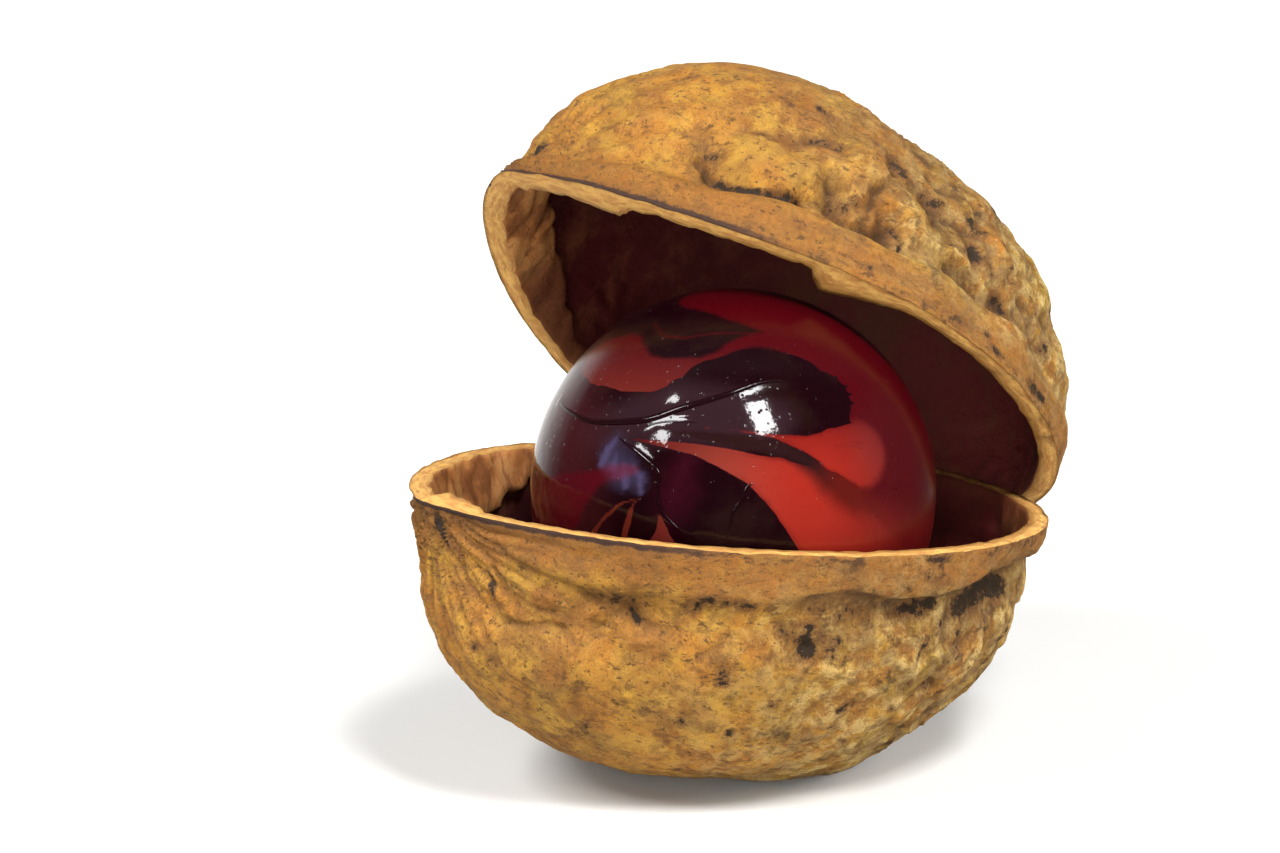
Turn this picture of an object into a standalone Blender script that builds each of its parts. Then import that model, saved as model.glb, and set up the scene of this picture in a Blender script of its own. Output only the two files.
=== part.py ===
"""A walnut cracked open into its two half shells, with a swirled glass marble held in it.

The lower half lies on its back like a small bowl. The marble sits in it, and the upper half
gapes over the marble like a lid that stands open towards the viewer and rests on the back of
the lower rim. Both halves are one shape with its own dents: an egg-like body, a smooth band
along the cracked rim, a groove under the band, and folds that run out from the pointed tip.

A half is made in its own frame, with the rim in the plane z = 0, the dome towards +z and the
tip towards -x. Its object's rotation and location then put it in place round the marble.
Lengths are metres. Tables of dents are in millimetres, as their headings say.
"""

import math

import bmesh
import bpy
import numpy as np
from mathutils import Matrix, Vector, noise

MM = 0.001

# The marble, a common large toy marble, gives the scale of the whole.
MARBLE_RADIUS = 12.5 * MM
MARBLE_SUBDIVISIONS = 4

# The nut's body without its rim band: half its length, half its width, and how much wider
# the blunt end is than the end with the tip.
HALF_LENGTH = 20.5 * MM
HALF_WIDTH = 15.5 * MM
EGG = 0.06
TIP_REACH = 1.0 * MM
TIP_ANGLE = 0.32
TIP_HEIGHT = 2.5 * MM

# The wall, measured inward from the body, and the gap left between pieces that touch.
WALL_AT_RIM = 1.1 * MM
WALL_AT_TOP = 1.4 * MM
GAP = 0.3 * MM

# The band along the rim stands proud of the body and fades over this height. The groove
# under it is narrow towards the band and wide towards the dome.
BAND_FADE = 1.3 * MM
GROOVE_NEAR = 0.9 * MM
GROOVE_FAR = 2.4 * MM

# The folds that run out from the tip, and how far along the nut they last.
FOLDS = 13
FOLD_DEPTH = 0.16 * MM
FOLD_REACH = 13.0 * MM
FOLD_START = 3.0 * MM
FOLD_WANDER = 1.6
WANDER_SIZE = 6.0 * MM

# Soft swells over the whole dome, and the finer hills of the rough areas.
SWELL_SIZE = 8.0 * MM
SWELL_HEIGHT = 0.32 * MM
HILL_SIZE = 3.6 * MM
HILL_HEIGHT = 0.42 * MM
HILLS_START = -10.0 * MM
HILLS_FULL = 4.0 * MM
CLEAR_OF_RIM = 3.0 * MM
INNER_SWELL_SIZE = 5.0 * MM
INNER_SWELL_HEIGHT = 0.25 * MM

# Where in the noise each kind of swell is read, so that no two look alike.
WANDER_PLACE = 3.1
HILL_PLACE = 5.3
SWELL_PLACE = 11.7
INNER_PLACE = 21.0

# The wave of the rim dies out over this height, and the foot of the partition starts there.
WAVE_HEIGHT = 4.0 * MM
FOOT_HEIGHT = 6.0 * MM

# Each half's mesh is a half ball with this many rows along a quarter turn of its rim.
ROWS = 22
RIM_CROWDING = 1.25

# How much is cut off under the lower half, so that it stands on a small flat.
FLAT_DEPTH = 0.6 * MM


class Half:
    """The sizes, place and dents of one half shell."""

    def __init__(self, name, near, depth, lean, fullness, turn, centre):
        self.name = name
        self.near = near
        self.depth = depth
        self.lean = lean
        self.fullness = fullness
        self.turn = tuple(math.radians(angle) for angle in turn)
        self.centre = Vector(centre) * MM
        self.wave = ()
        self.band = ()
        self.dents = ()
        self.creases = ()
        self.inner_dents = ()
        self.seat = None

    def matrix(self):
        rolled = Matrix.Rotation(self.turn[0], 4, "X")
        pitched = Matrix.Rotation(self.turn[1], 4, "Y") @ rolled
        return Matrix.Translation(self.centre) @ Matrix.Rotation(self.turn[2], 4, "Z") @ pitched


# The lower half lies on its back, so its near side is +y in its own frame.
LOWER = Half("shell_lower", 1, 17.5 * MM, -0.03, 0.90 * MM, (180, 6.8, 29.2), (-0.1, 1.8, -0.7))
UPPER = Half("shell_upper", -1, 17.6 * MM, -0.07, 0.20 * MM, (-27.3, 35.8, 20.9), (2.15, 11, 5.7))

# The band by place along the nut, in mm: x, how high it reaches from the rim, how deep the
# groove beyond it is, and how proud the band stands.
LOWER.band = (
    (-21, 2.6, 0.05, 0.15),
    (-16, 3.2, 0.15, 0.20),
    (-12, 3.3, 0.35, 0.45),
    (-6, 3.2, 0.20, 0.50),
    (2, 2.9, 0.35, 0.50),
    (8, 2.9, 0.70, 0.50),
    (14, 2.2, 0.75, 0.50),
    (21, 1.8, 0.60, 0.50),
)
# Its dents and swells on the near side: x, height above the rim plane, radius, rise, in mm.
LOWER.dents = (
    (-19.0, 6.0, 4.5, 0.45),
    (-17.4, 9.2, 4.5, 0.42),
    (-17.0, 7.6, 2.4, 0.35),
    (-14.2, 7.8, 2.4, 0.30),
    (-12.6, 4.4, 2.2, -0.40),
    (-7.5, 8.5, 3.4, 0.25),
    (-2.6, 6.2, 1.8, -0.40),
    (1.0, 4.2, 2.0, -0.30),
    (4.2, 4.2, 2.0, -0.40),
    (6.6, 7.0, 3.0, 0.30),
    (10.4, 3.7, 2.6, -0.60),
    (13.6, 3.0, 2.2, -0.45),
    (13.0, 8.5, 3.2, 0.30),
)
# Its creases: width, rise, then points of x and height, in mm.
LOWER.creases = (
    (0.9, -0.30, (-18.6, 5.2), (-17.2, 6.2), (-16.0, 5.7), (-14.0, 6.0)),
    (1.1, -0.25, (-18.6, 7.2), (-16.6, 9.4), (-14.6, 10.4)),
    (1.2, 0.25, (-19.2, 6.4), (-17.2, 8.6), (-14.8, 9.4)),
)

UPPER.wave = ((2, 0.45 * MM, 0.46 * MM), (3, 0.17 * MM, 0.46 * MM))
UPPER.band = (
    (-21, 2.0, 0.15, 0.35),
    (-13, 2.0, 0.70, 0.50),
    (-4, 2.4, 0.65, 0.50),
    (4, 3.2, 0.60, 0.50),
    (9, 3.9, 0.60, 0.50),
    (15, 3.0, 0.50, 0.50),
    (21, 1.8, 0.30, 0.50),
)
UPPER.dents = (
    (-19.4, 5.6, 3.2, -0.45),
    (-14.0, 3.9, 2.0, -0.55),
    (-11.4, 4.3, 2.4, 0.70),
    (-8.6, 5.2, 2.2, 0.40),
    (-6.6, 3.8, 1.7, -0.75),
    (-5.8, 6.6, 2.2, 0.40),
    (-3.8, 3.6, 1.8, -0.70),
    (-0.7, 7.4, 1.8, -0.60),
    (-3.2, 10.2, 2.4, -0.30),
    (2.6, 7.6, 2.6, -0.35),
    (5.0, 7.4, 2.2, 0.45),
    (5.4, 4.2, 2.0, -0.50),
    (9.6, 4.8, 2.2, -0.40),
    (12.0, 4.6, 2.4, -0.55),
    (11.5, 9.0, 3.0, 0.35),
    (16.0, 6.5, 4.0, 0.90),
    (-18.9, 8.2, 3.5, 0.55),
    (0.2, 14.4, 4.0, -0.55),
)
UPPER.creases = (
    (1.0, -0.70, (-15.4, 3.0), (-13.7, 2.5), (-12.0, 2.0), (-10.4, 2.3), (-9.0, 2.9)),
    (1.5, 0.60, (-4.4, 8.6), (-3.1, 7.2), (-1.9, 6.0)),
    (1.2, -0.35, (-9.6, 8.0), (-7.4, 9.4), (-5.2, 12.0)),
)
# Scraps of the inner wall that stay on the inside: x, height, radius and how far they stand
# in, on the near side, in mm.
UPPER.inner_dents = ((-5.0, 0.0, 2.3, 1.0), (-17.2, 0.0, 1.8, 0.9))
LOWER.inner_dents = ((-17.6, 0.0, 1.8, 0.9),)

# The thick foot of the partition inside each half, which reaches to the marble:
# height, half its length and half its width.
LOWER.seat = (4.6 * MM, 8.0 * MM, 3.2 * MM)
UPPER.seat = (3.0 * MM, 8.0 * MM, 3.2 * MM)


def half_ball(rows):
    """An open half ball of radius 1 over the plane z = 0, from a cube cut into a grid."""
    bm = bmesh.new()
    bmesh.ops.create_cube(bm, size=2.0)
    bmesh.ops.subdivide_edges(bm, edges=bm.edges[:], cuts=rows - 1, use_grid_fill=True)
    everything = bm.verts[:] + bm.edges[:] + bm.faces[:]
    bmesh.ops.bisect_plane(
        bm, geom=everything, dist=1e-5, plane_co=(0, 0, 0), plane_no=(0, 0, 1), clear_inner=True
    )
    quarter = math.pi / 4
    for vert in bm.verts:
        x, y, z = vert.co
        # Rows crowd towards the rim, where the band and its groove need them.
        z = max(z, 0.0) ** RIM_CROWDING
        vert.co = Vector((math.tan(x * quarter), math.tan(y * quarter), math.tan(z * quarter)))
        vert.co.normalize()
    return bm


def body(half, directions, shrink=0.0, shrink_top=0.0):
    """Points of the egg-like body in these directions from its middle."""
    s = directions[:, 0]
    width = (HALF_WIDTH - shrink) * (1 + EGG * s)
    depth = (half.depth - shrink_top) * (1 + half.lean * s)
    x = (HALF_LENGTH - shrink) * s
    return np.stack([x, width * directions[:, 1], depth * directions[:, 2]], axis=1)


def outward(points, depth):
    """The directions in which the body faces at these points."""
    facing = points / np.array([HALF_LENGTH, HALF_WIDTH, depth]) ** 2
    return facing / np.linalg.norm(facing, axis=1)[:, None]


def on_side(half, x, height):
    """The point of the near side at x and this height, both in mm."""
    s = x * MM / HALF_LENGTH
    up = height * MM / half.depth
    across = math.sqrt(max(1 - s * s - up * up, 0.0))
    y = half.near * HALF_WIDTH * (1 + EGG * s) * across
    return np.array([x * MM, y, height * MM])


def distance_to_path(points, path):
    """How far each point is from a path of straight pieces."""
    nearest = np.full(len(points), np.inf)
    for start, end in zip(path[:-1], path[1:]):
        along = end - start
        share = np.clip((points - start) @ along / (along @ along), 0, 1)
        away = np.linalg.norm(points - start - share[:, None] * along, axis=1)
        nearest = np.minimum(nearest, away)
    return nearest


def smooth_noise(points, size, shift):
    """Soft noise from -1 to 1 with hills of about this size."""
    moved = points / size + shift
    return np.array([noise.noise(Vector(point)) for point in moved])


def rim_band(half, points):
    """The proud band along the rim, and the groove where it meets the dome."""
    x = points[:, 0] / MM
    places, heights, depths, rises = (np.array(column) for column in zip(*half.band))
    edge = np.interp(x, places, heights) * MM
    groove = np.interp(x, places, depths) * MM
    proud = np.interp(x, places, rises) * MM
    past = points[:, 2] - edge
    share = np.clip(0.5 - past / BAND_FADE, 0, 1)
    rise = proud * share * share * (3 - 2 * share)
    below = past - 0.5 * BAND_FADE
    width = np.where(below < 0, GROOVE_NEAR, GROOVE_FAR)
    return rise - groove * np.exp(-((below / width) ** 2))


def folds(half, points):
    """Folds that run out from the tip and fade along the nut."""
    around = np.arctan2(points[:, 2] / half.depth, half.near * points[:, 1] / HALF_WIDTH)
    from_tip = points - np.array([-HALF_LENGTH, 0.0, 0.0])
    distance = np.linalg.norm(from_tip, axis=1)
    wander = FOLD_WANDER * smooth_noise(points, WANDER_SIZE, WANDER_PLACE)
    fade = np.exp(-((distance / FOLD_REACH) ** 2)) * np.clip(distance / FOLD_START, 0, 1)
    return -FOLD_DEPTH * fade * (1 - np.cos(2 * FOLDS * around + wander))


def dents(half, points):
    """The named dents, swells and creases of the near side."""
    rise = np.zeros(len(points))
    for x, height, radius, amount in half.dents:
        away = np.linalg.norm(points - on_side(half, x, height), axis=1)
        rise += amount * MM * np.exp(-((away / (radius * MM)) ** 2))
    for width, amount, *stops in half.creases:
        path = [on_side(half, *stop) for stop in stops]
        away = distance_to_path(points, path)
        rise += amount * MM * np.exp(-((away / (width * MM)) ** 2))
    return rise


def roughness(half, points):
    """Soft swells everywhere, and hills that grow stronger towards the blunt end."""
    swell = SWELL_HEIGHT * smooth_noise(points, SWELL_SIZE, SWELL_PLACE + half.near)
    hills = HILL_HEIGHT * smooth_noise(points, HILL_SIZE, HILL_PLACE + half.near)
    share = np.clip((points[:, 0] - HILLS_START) / (HILLS_FULL - HILLS_START), 0.15, 1)
    clear_of_band = np.clip(points[:, 2] / CLEAR_OF_RIM, 0.2, 1)
    return (swell + hills * share) * clear_of_band


def rim_wave(half, points):
    """How far the rim bends out of its plane here."""
    around = np.arctan2(-half.near * points[:, 1] / HALF_WIDTH, -points[:, 0] / HALF_LENGTH)
    lift = np.zeros(len(points))
    for turns, with_cosine, with_sine in half.wave:
        lift += with_cosine * np.cos(turns * around) + with_sine * np.sin(turns * around)
    return lift * np.exp(-points[:, 2] / WAVE_HEIGHT)


def tip(points):
    """The pointed tip: how far -x the rim's end is drawn out."""
    around = np.arctan2(points[:, 1] / HALF_WIDTH, -points[:, 0] / HALF_LENGTH)
    low = np.exp(-points[:, 2] / TIP_HEIGHT)
    return TIP_REACH * low * np.exp(-((np.abs(around) / TIP_ANGLE) ** 1.3))


def fuller(half, directions):
    """How much fuller than an egg the dome is between its rim and its top."""
    up = directions[:, 2]
    return half.fullness * 4 * up**2 * (1 - up**2)


def outer_surface(half, directions):
    """The outside of a half shell."""
    points = body(half, directions)
    rise = fuller(half, directions) + rim_band(half, points) + folds(half, points)
    rise += dents(half, points) + roughness(half, points)
    moved = points + outward(points, half.depth) * rise[:, None]
    moved[:, 0] -= tip(points)
    moved[:, 2] += rim_wave(half, points)
    return moved


def inner_surface(half, directions):
    """The inside of a half shell, with the foot of its partition against the marble."""
    points = body(half, directions, WALL_AT_RIM, WALL_AT_TOP)
    swell = INNER_SWELL_HEIGHT * smooth_noise(points, INNER_SWELL_SIZE, INNER_PLACE + half.near)
    rise = fuller(half, directions) + swell * directions[:, 2]
    for x, height, radius, amount in half.inner_dents:
        away = np.linalg.norm(points - on_side(half, x, height), axis=1)
        rise -= amount * MM * np.exp(-((away / (radius * MM)) ** 2))
    moved = points + outward(points, half.depth) * rise[:, None]
    moved[:, 2] += rim_wave(half, points)
    return partition_foot(half, moved)


def partition_foot(half, points):
    """Draws the inside in towards the marble along the middle, and stops short of it."""
    marble = np.array(half.matrix().inverted() @ Vector((0, 0, 0)))
    height, half_length, half_width = half.seat
    reach = (points[:, 0] / half_length) ** 2 + (points[:, 1] / half_width) ** 2
    inward = marble - points
    distance = np.linalg.norm(inward, axis=1)
    on_dome = np.clip(points[:, 2] / FOOT_HEIGHT, 0, 1)
    room = np.maximum(distance - MARBLE_RADIUS - GAP, 0.0)
    step = np.minimum(height * np.exp(-reach) * on_dome, room)
    return points + inward * (step / distance)[:, None]


def half_shell(half, material, collection):
    """One half shell, closed at its rim, as an object in its place round the marble."""
    bm = half_ball(ROWS)
    outside = bm.verts[:]
    copied = bmesh.ops.duplicate(bm, geom=bm.verts[:] + bm.edges[:] + bm.faces[:])["geom"]
    inside = [item for item in copied if isinstance(item, bmesh.types.BMVert)]
    inside_faces = [item for item in copied if isinstance(item, bmesh.types.BMFace)]
    bmesh.ops.reverse_faces(bm, faces=inside_faces)
    for verts, surface in ((outside, outer_surface), (inside, inner_surface)):
        directions = np.array([vert.co for vert in verts])
        for vert, point in zip(verts, surface(half, directions)):
            vert.co = point
    rim = [edge for edge in bm.edges if edge.is_boundary]
    bmesh.ops.bridge_loops(bm, edges=rim)
    bmesh.ops.recalc_face_normals(bm, faces=bm.faces[:])
    bmesh.ops.triangulate(bm, faces=bm.faces[:])
    placed = add_object(half.name, bm, material, collection)
    placed.matrix_world = half.matrix()
    return placed


def cut_flat(shell):
    """Cuts a small level flat under the lower half, for it to stand on."""
    bm = bmesh.new()
    bm.from_mesh(shell.data)
    bm.transform(shell.matrix_world)
    level = min(vert.co.z for vert in bm.verts) + FLAT_DEPTH
    everything = bm.verts[:] + bm.edges[:] + bm.faces[:]
    bmesh.ops.bisect_plane(
        bm, geom=everything, dist=1e-6, plane_co=(0, 0, level), plane_no=(0, 0, 1), clear_inner=True
    )
    bmesh.ops.holes_fill(bm, edges=[edge for edge in bm.edges if edge.is_boundary])
    bmesh.ops.triangulate(bm, faces=bm.faces[:])
    bm.transform(shell.matrix_world.inverted())
    bm.to_mesh(shell.data)
    bm.free()
    shell.data.shade_smooth()
    shell.data.set_sharp_from_angle(angle=math.radians(40))


def marble(material, collection):
    """The glass marble, whose middle is the middle of the frame the halves are placed in."""
    bm = bmesh.new()
    bmesh.ops.create_icosphere(bm, subdivisions=MARBLE_SUBDIVISIONS, radius=MARBLE_RADIUS)
    return add_object("glass_marble", bm, material, collection)


def add_object(name, bm, material, collection):
    mesh = bpy.data.meshes.new(name)
    bm.to_mesh(mesh)
    bm.free()
    mesh.materials.append(material)
    mesh.shade_smooth()
    added = bpy.data.objects.new(name, mesh)
    collection.objects.link(added)
    return added


def plain_material(name, colour, roughness_value):
    material = bpy.data.materials.new(name)
    material.use_nodes = True
    shader = material.node_tree.nodes["Principled BSDF"]
    shader.inputs["Base Color"].default_value = (*colour, 1)
    shader.inputs["Roughness"].default_value = roughness_value
    shader.inputs["Metallic"].default_value = 0.0
    return material


def stand_on_origin(pieces, collection):
    """Hangs the pieces on an empty that puts the middle of their footprint on the origin."""
    bpy.context.view_layer.update()
    corners = [piece.matrix_world @ vert.co for piece in pieces for vert in piece.data.vertices]
    low = Vector(min(corner[axis] for corner in corners) for axis in range(3))
    high = Vector(max(corner[axis] for corner in corners) for axis in range(3))
    empty = bpy.data.objects.new("walnut_place", None)
    collection.objects.link(empty)
    for piece in pieces:
        piece.parent = empty
    empty.location = (-(low.x + high.x) / 2, -(low.y + high.y) / 2, -low.z)


def main():
    for old in list(bpy.data.objects):
        bpy.data.objects.remove(old)
    collection = bpy.data.collections.new("walnut")
    bpy.context.scene.collection.children.link(collection)
    shell_material = plain_material("walnut_shell", (0.60, 0.36, 0.10), 0.6)
    glass_material = plain_material("marble_glass", (0.25, 0.01, 0.01), 0.1)
    lower = half_shell(LOWER, shell_material, collection)
    bpy.context.view_layer.update()
    cut_flat(lower)
    upper = half_shell(UPPER, shell_material, collection)
    ball = marble(glass_material, collection)
    stand_on_origin([lower, upper, ball], collection)


main()
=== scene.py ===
# %% [markdown]
# A walnut with a marble in it
#
# The object is a walnut that was cracked open and emptied. Its lower half lies on its back and
# holds a swirled glass marble, and its upper half gapes over the marble like a lid. The packed
# solids give every piece its size and place. This lesson dresses them: it repeats the shape of
# the shells on a much finer mesh, carves the wrinkles into it, and paints shell and glass.

# %% Load the frame
import math

import bmesh
import bpy
import numpy as np
from mathutils import Matrix, Vector, noise


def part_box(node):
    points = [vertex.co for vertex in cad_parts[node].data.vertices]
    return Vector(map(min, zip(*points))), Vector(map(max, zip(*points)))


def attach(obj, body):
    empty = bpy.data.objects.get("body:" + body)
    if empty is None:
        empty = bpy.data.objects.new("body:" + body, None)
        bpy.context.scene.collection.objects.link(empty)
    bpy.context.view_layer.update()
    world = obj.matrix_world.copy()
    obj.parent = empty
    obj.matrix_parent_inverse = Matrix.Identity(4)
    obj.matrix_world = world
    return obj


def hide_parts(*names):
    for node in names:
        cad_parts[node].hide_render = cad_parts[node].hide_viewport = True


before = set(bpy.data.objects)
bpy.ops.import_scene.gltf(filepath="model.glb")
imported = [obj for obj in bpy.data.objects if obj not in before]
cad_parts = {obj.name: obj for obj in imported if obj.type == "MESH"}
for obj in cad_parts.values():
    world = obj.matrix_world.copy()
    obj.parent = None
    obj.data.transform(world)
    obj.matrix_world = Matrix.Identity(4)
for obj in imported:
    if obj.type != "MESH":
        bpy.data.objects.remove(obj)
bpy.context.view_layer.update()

MM = 0.001


def show(thing):
    """Puts an object in the scene."""
    bpy.context.scene.collection.objects.link(thing)


def mesh_from(bm, name):
    """Makes a mesh of what was worked on, and frees the work."""
    mesh = bpy.data.meshes.new(name)
    bm.to_mesh(mesh)
    bm.free()
    return mesh


print("solids:", sorted(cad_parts))

# %% [markdown]
# The marble is the key to the view. It is a ball of known size, so the circle that it makes in
# the photograph gives the camera's lens for a chosen distance, and its middle is a good point to
# measure everything from. The camera looks down at the nut by fourteen degrees.

# %% The camera
PHOTO_WIDTH = 1280
MARBLE_IN_PHOTO = 204.5
MARBLE_LOW, MARBLE_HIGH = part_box("glass_marble")
MARBLE_CENTRE = (MARBLE_LOW + MARBLE_HIGH) / 2
MARBLE_RADIUS = (MARBLE_HIGH.x - MARBLE_LOW.x) / 2 / MM
VIEW_ELEVATION = math.radians(14.3)
VIEW_DISTANCE = 300.0
VIEW_TARGET = Vector((-5.7, 0.0, 4.1))
SENSOR = 36.0

to_right = Vector((1, 0, 0))
to_camera = Vector((0, -math.cos(VIEW_ELEVATION), math.sin(VIEW_ELEVATION)))
to_top = Vector((0, math.sin(VIEW_ELEVATION), math.cos(VIEW_ELEVATION)))

tangent = math.sqrt(VIEW_DISTANCE**2 - MARBLE_RADIUS**2)
focal_pixels = MARBLE_IN_PHOTO * tangent / MARBLE_RADIUS
camera = bpy.data.objects.new("camera", bpy.data.cameras.new("camera"))
camera.data.sensor_width = SENSOR
camera.data.lens = SENSOR * focal_pixels / PHOTO_WIDTH
camera.data.clip_start = 0.01
camera.location = MARBLE_CENTRE + (VIEW_TARGET + to_camera * VIEW_DISTANCE) * MM
camera.rotation_euler = (math.pi / 2 - VIEW_ELEVATION, 0, 0)
show(camera)
bpy.context.scene.camera = camera
print("lens in mm:", round(camera.data.lens, 1))

# %% [markdown]
# Paint and sky are built from nodes, and long chains of nodes are hard to read when they are made
# one by one. A small class wraps a socket and overloads plus, minus, times and divide, so shader
# maths reads like ordinary maths. Every other node comes from one method that takes its type,
# its settings and its inputs. A paint also keeps its colour so far, and lays the next one over
# it, as a painter glazes.


# %% A socket with arithmetic
class Value:
    """A socket of one node tree, with the usual arithmetic."""

    def __init__(self, nodes, socket):
        self.nodes = nodes
        self.socket = socket

    def maths(self, operation, *others):
        return self.nodes.node("ShaderNodeMath", {"operation": operation}, dict(enumerate(others)))

    def __add__(self, other):
        return self.maths("ADD", self, other)

    def __radd__(self, other):
        return self.maths("ADD", other, self)

    def __sub__(self, other):
        return self.maths("SUBTRACT", self, other)

    def __rsub__(self, other):
        return self.maths("SUBTRACT", other, self)

    def __mul__(self, other):
        return self.maths("MULTIPLY", self, other)

    def __rmul__(self, other):
        return self.maths("MULTIPLY", other, self)

    def __truediv__(self, other):
        return self.maths("DIVIDE", self, other)

    def __rtruediv__(self, other):
        return self.maths("DIVIDE", other, self)

    def __abs__(self):
        return self.maths("ABSOLUTE", self)

    def most(self, other):
        return self.maths("MAXIMUM", self, other)

    def step(self, low, high):
        """0 below low and 1 above high, with a soft step between; low may be above high."""
        settings = {"interpolation_type": "SMOOTHSTEP"}
        inputs = {"Value": self, "From Min": low, "From Max": high}
        return self.nodes.node("ShaderNodeMapRange", settings, inputs)


# %% A tree of nodes
class Nodes:
    """A tree of nodes, and short ways to add to it."""

    def __init__(self, tree):
        self.tree = tree

    def feed(self, socket, value):
        """Links a value to a socket, or sets the socket to a plain number or colour."""
        if isinstance(value, Value):
            self.tree.links.new(value.socket, socket)
        elif isinstance(value, tuple) and socket.type == "RGBA":
            socket.default_value = (*value, 1)
        else:
            socket.default_value = value

    def node(self, kind, settings=None, inputs=None, output=0):
        made = self.tree.nodes.new(kind)
        for name, setting in (settings or {}).items():
            setattr(made, name, setting)
        for name, value in (inputs or {}).items():
            self.feed(made.inputs[name], value)
        return Value(self, made.outputs[output])

    def attribute(self, name, output="Fac"):
        return self.node("ShaderNodeAttribute", {"attribute_name": name}, output=output)

    def noise(self, place, scale, detail=2.0, roughness=0.5, distortion=0.0, output="Fac"):
        inputs = {"Vector": place, "Scale": scale, "Detail": detail, "Roughness": roughness}
        return self.node("ShaderNodeTexNoise", {}, {**inputs, "Distortion": distortion}, output)

    def cells(self, place, scale, output="Distance"):
        return self.node("ShaderNodeTexVoronoi", {}, {"Vector": place, "Scale": scale}, output)

    def stretched(self, place, scale):
        return self.node("ShaderNodeMapping", {}, {"Vector": place, "Scale": scale})

    def warped(self, place, scale, amount):
        """The same places, each pushed aside a little by noise."""
        push = self.noise(place, scale, 3.0, 0.6, output="Color")
        inputs = {0: push, 1: (amount, amount, amount), 2: place}
        return self.node("ShaderNodeVectorMath", {"operation": "MULTIPLY_ADD"}, inputs)

    def mix(self, share, first, second):
        """Goes from the first colour to the second as the share goes from 0 to 1."""
        settings = {"data_type": "RGBA"}
        return self.node("ShaderNodeMix", settings, {0: share, 6: first, 7: second}, output=2)

    def part(self, vector, axis):
        return self.node("ShaderNodeSeparateXYZ", {}, {"Vector": vector}, output=axis)

    def bump(self, height, millimetres):
        inputs = {"Height": height, "Distance": millimetres * MM, "Strength": 1.0}
        return self.node("ShaderNodeBump", {}, inputs)


# %% One material
class Paint(Nodes):
    """One material, its nodes, and the colour that it has so far."""

    def __init__(self, name, **fixed):
        self.material = bpy.data.materials.new(name)
        self.material.use_nodes = True
        super().__init__(self.material.node_tree)
        self.wire(**fixed)

    def wire(self, **sockets):
        """Feeds sockets of the shader itself, and hands the material back."""
        shader = self.tree.nodes["Principled BSDF"]
        for socket, value in sockets.items():
            self.feed(shader.inputs[socket.replace("_", " ")], value)
        return self.material

    def lay(self, share, colour):
        """Lays a colour over what is there, as thickly as the share says."""
        self.colour = self.mix(share, self.colour, colour)

    def inside(self, stroke, wobble, low, high):
        """Where a stroke lies, by the stored distance to its edge, which noise bends a little."""
        return (self.attribute(stroke + "_edge") + wobble).step(low, high)

    def finish(self, roughness, height, millimetres):
        """Gives the shader the colour so far, a roughness, and a relief this deep."""
        relief = self.bump(height, millimetres)
        return self.wire(Base_Color=self.colour, Roughness=roughness, Normal=relief)


# %% [markdown]
# A glossy ball is a map of its studio. The two small windows on it are two softboxes above the
# camera. Its left edge goes from grey to white, so what stands behind the nut is white, and its
# middle is almost black, so the room in front is dark. Each lamp is placed by the direction in
# which the ball shows it, and its power is worked out from how bright it must look, so that it
# can change its size without changing its brightness. The ball shows nothing of the two lamps
# that only fill the shadows, nor of the floor, so mirrors don't see these three. Each fill has a
# grid before it, which sends its light straight ahead.


# %% Lamps
LAMP_DISTANCE = 1.6
GRID_SPREAD = 2 * math.atan(0.5)


def seen_at(right, up):
    """The direction from the marble that is these degrees to the right of the camera and above."""
    right, up = math.radians(right), math.radians(up)
    across = to_right * math.sin(right) + to_camera * math.cos(right)
    return across * math.cos(up) + to_top * math.sin(up)


def soft_box(name, right, up, size, brightness, gridded=False):
    """An area lamp in this direction; its size is given for a distance of one metre."""
    direction = seen_at(right, up)
    lamp = bpy.data.lights.new(name, "AREA")
    lamp.shape = "RECTANGLE"
    lamp.size, lamp.size_y = (part * LAMP_DISTANCE for part in size)
    lamp.energy = brightness * math.pi * lamp.size * lamp.size_y
    placed = bpy.data.objects.new(name, lamp)
    placed.location = MARBLE_CENTRE + direction * LAMP_DISTANCE
    placed.rotation_euler = direction.to_track_quat("Z", "Y").to_euler()
    if gridded:
        lamp.spread = GRID_SPREAD
        placed.visible_glossy = False
    show(placed)


soft_box("softbox_left", -47, 39, (0.23, 0.42), 40.0)
soft_box("softbox_right", 19, 42, (0.19, 0.31), 56.0)
soft_box("fill_at_the_right", 82, 24, (0.60, 0.60), 1.3, gridded=True)
soft_box("fill_in_front", -5, -4, (0.70, 0.50), 1.0, gridded=True)

# %% Sky and floor
ROOM_IN_FRONT = 0.08
WALL_BEHIND = 1.5
TO_WALL = (-0.20, 0.98, 0.0)
world = bpy.data.worlds.new("studio")
world.use_nodes = True
sky = Nodes(world.node_tree)
looking = sky.node("ShaderNodeTexCoord", output="Generated")
dot_product = {"operation": "DOT_PRODUCT"}
facing = sky.node("ShaderNodeVectorMath", dot_product, {0: looking, 1: TO_WALL}, "Value")
on_wall = facing.step(0.60, 1.05) * sky.part(looking, "Z").step(0.42, 0.28)
brightness = ROOM_IN_FRONT + on_wall * (WALL_BEHIND - ROOM_IN_FRONT)
background = world.node_tree.nodes["Background"].inputs
sky.feed(background["Strength"], brightness)
sky.feed(background["Color"], (1.0, 0.99, 0.97))
bpy.context.scene.world = world
bpy.context.scene.view_settings.view_transform = "Standard"

FLOOR_SIZE = 6.0
bm = bmesh.new()
bmesh.ops.create_grid(bm, x_segments=1, y_segments=1, size=FLOOR_SIZE / 2)
floor_mesh = mesh_from(bm, "floor")
floor = bpy.data.objects.new("floor", floor_mesh)
show(floor)
floor_mesh.materials.append(Paint("pale_floor", Base_Color=(0.68, 0.68, 0.67), Roughness=0.8).material)
floor.visible_glossy = False
print("sky:", len(world.node_tree.nodes), "nodes, and a floor of", FLOOR_SIZE, "m")

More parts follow.
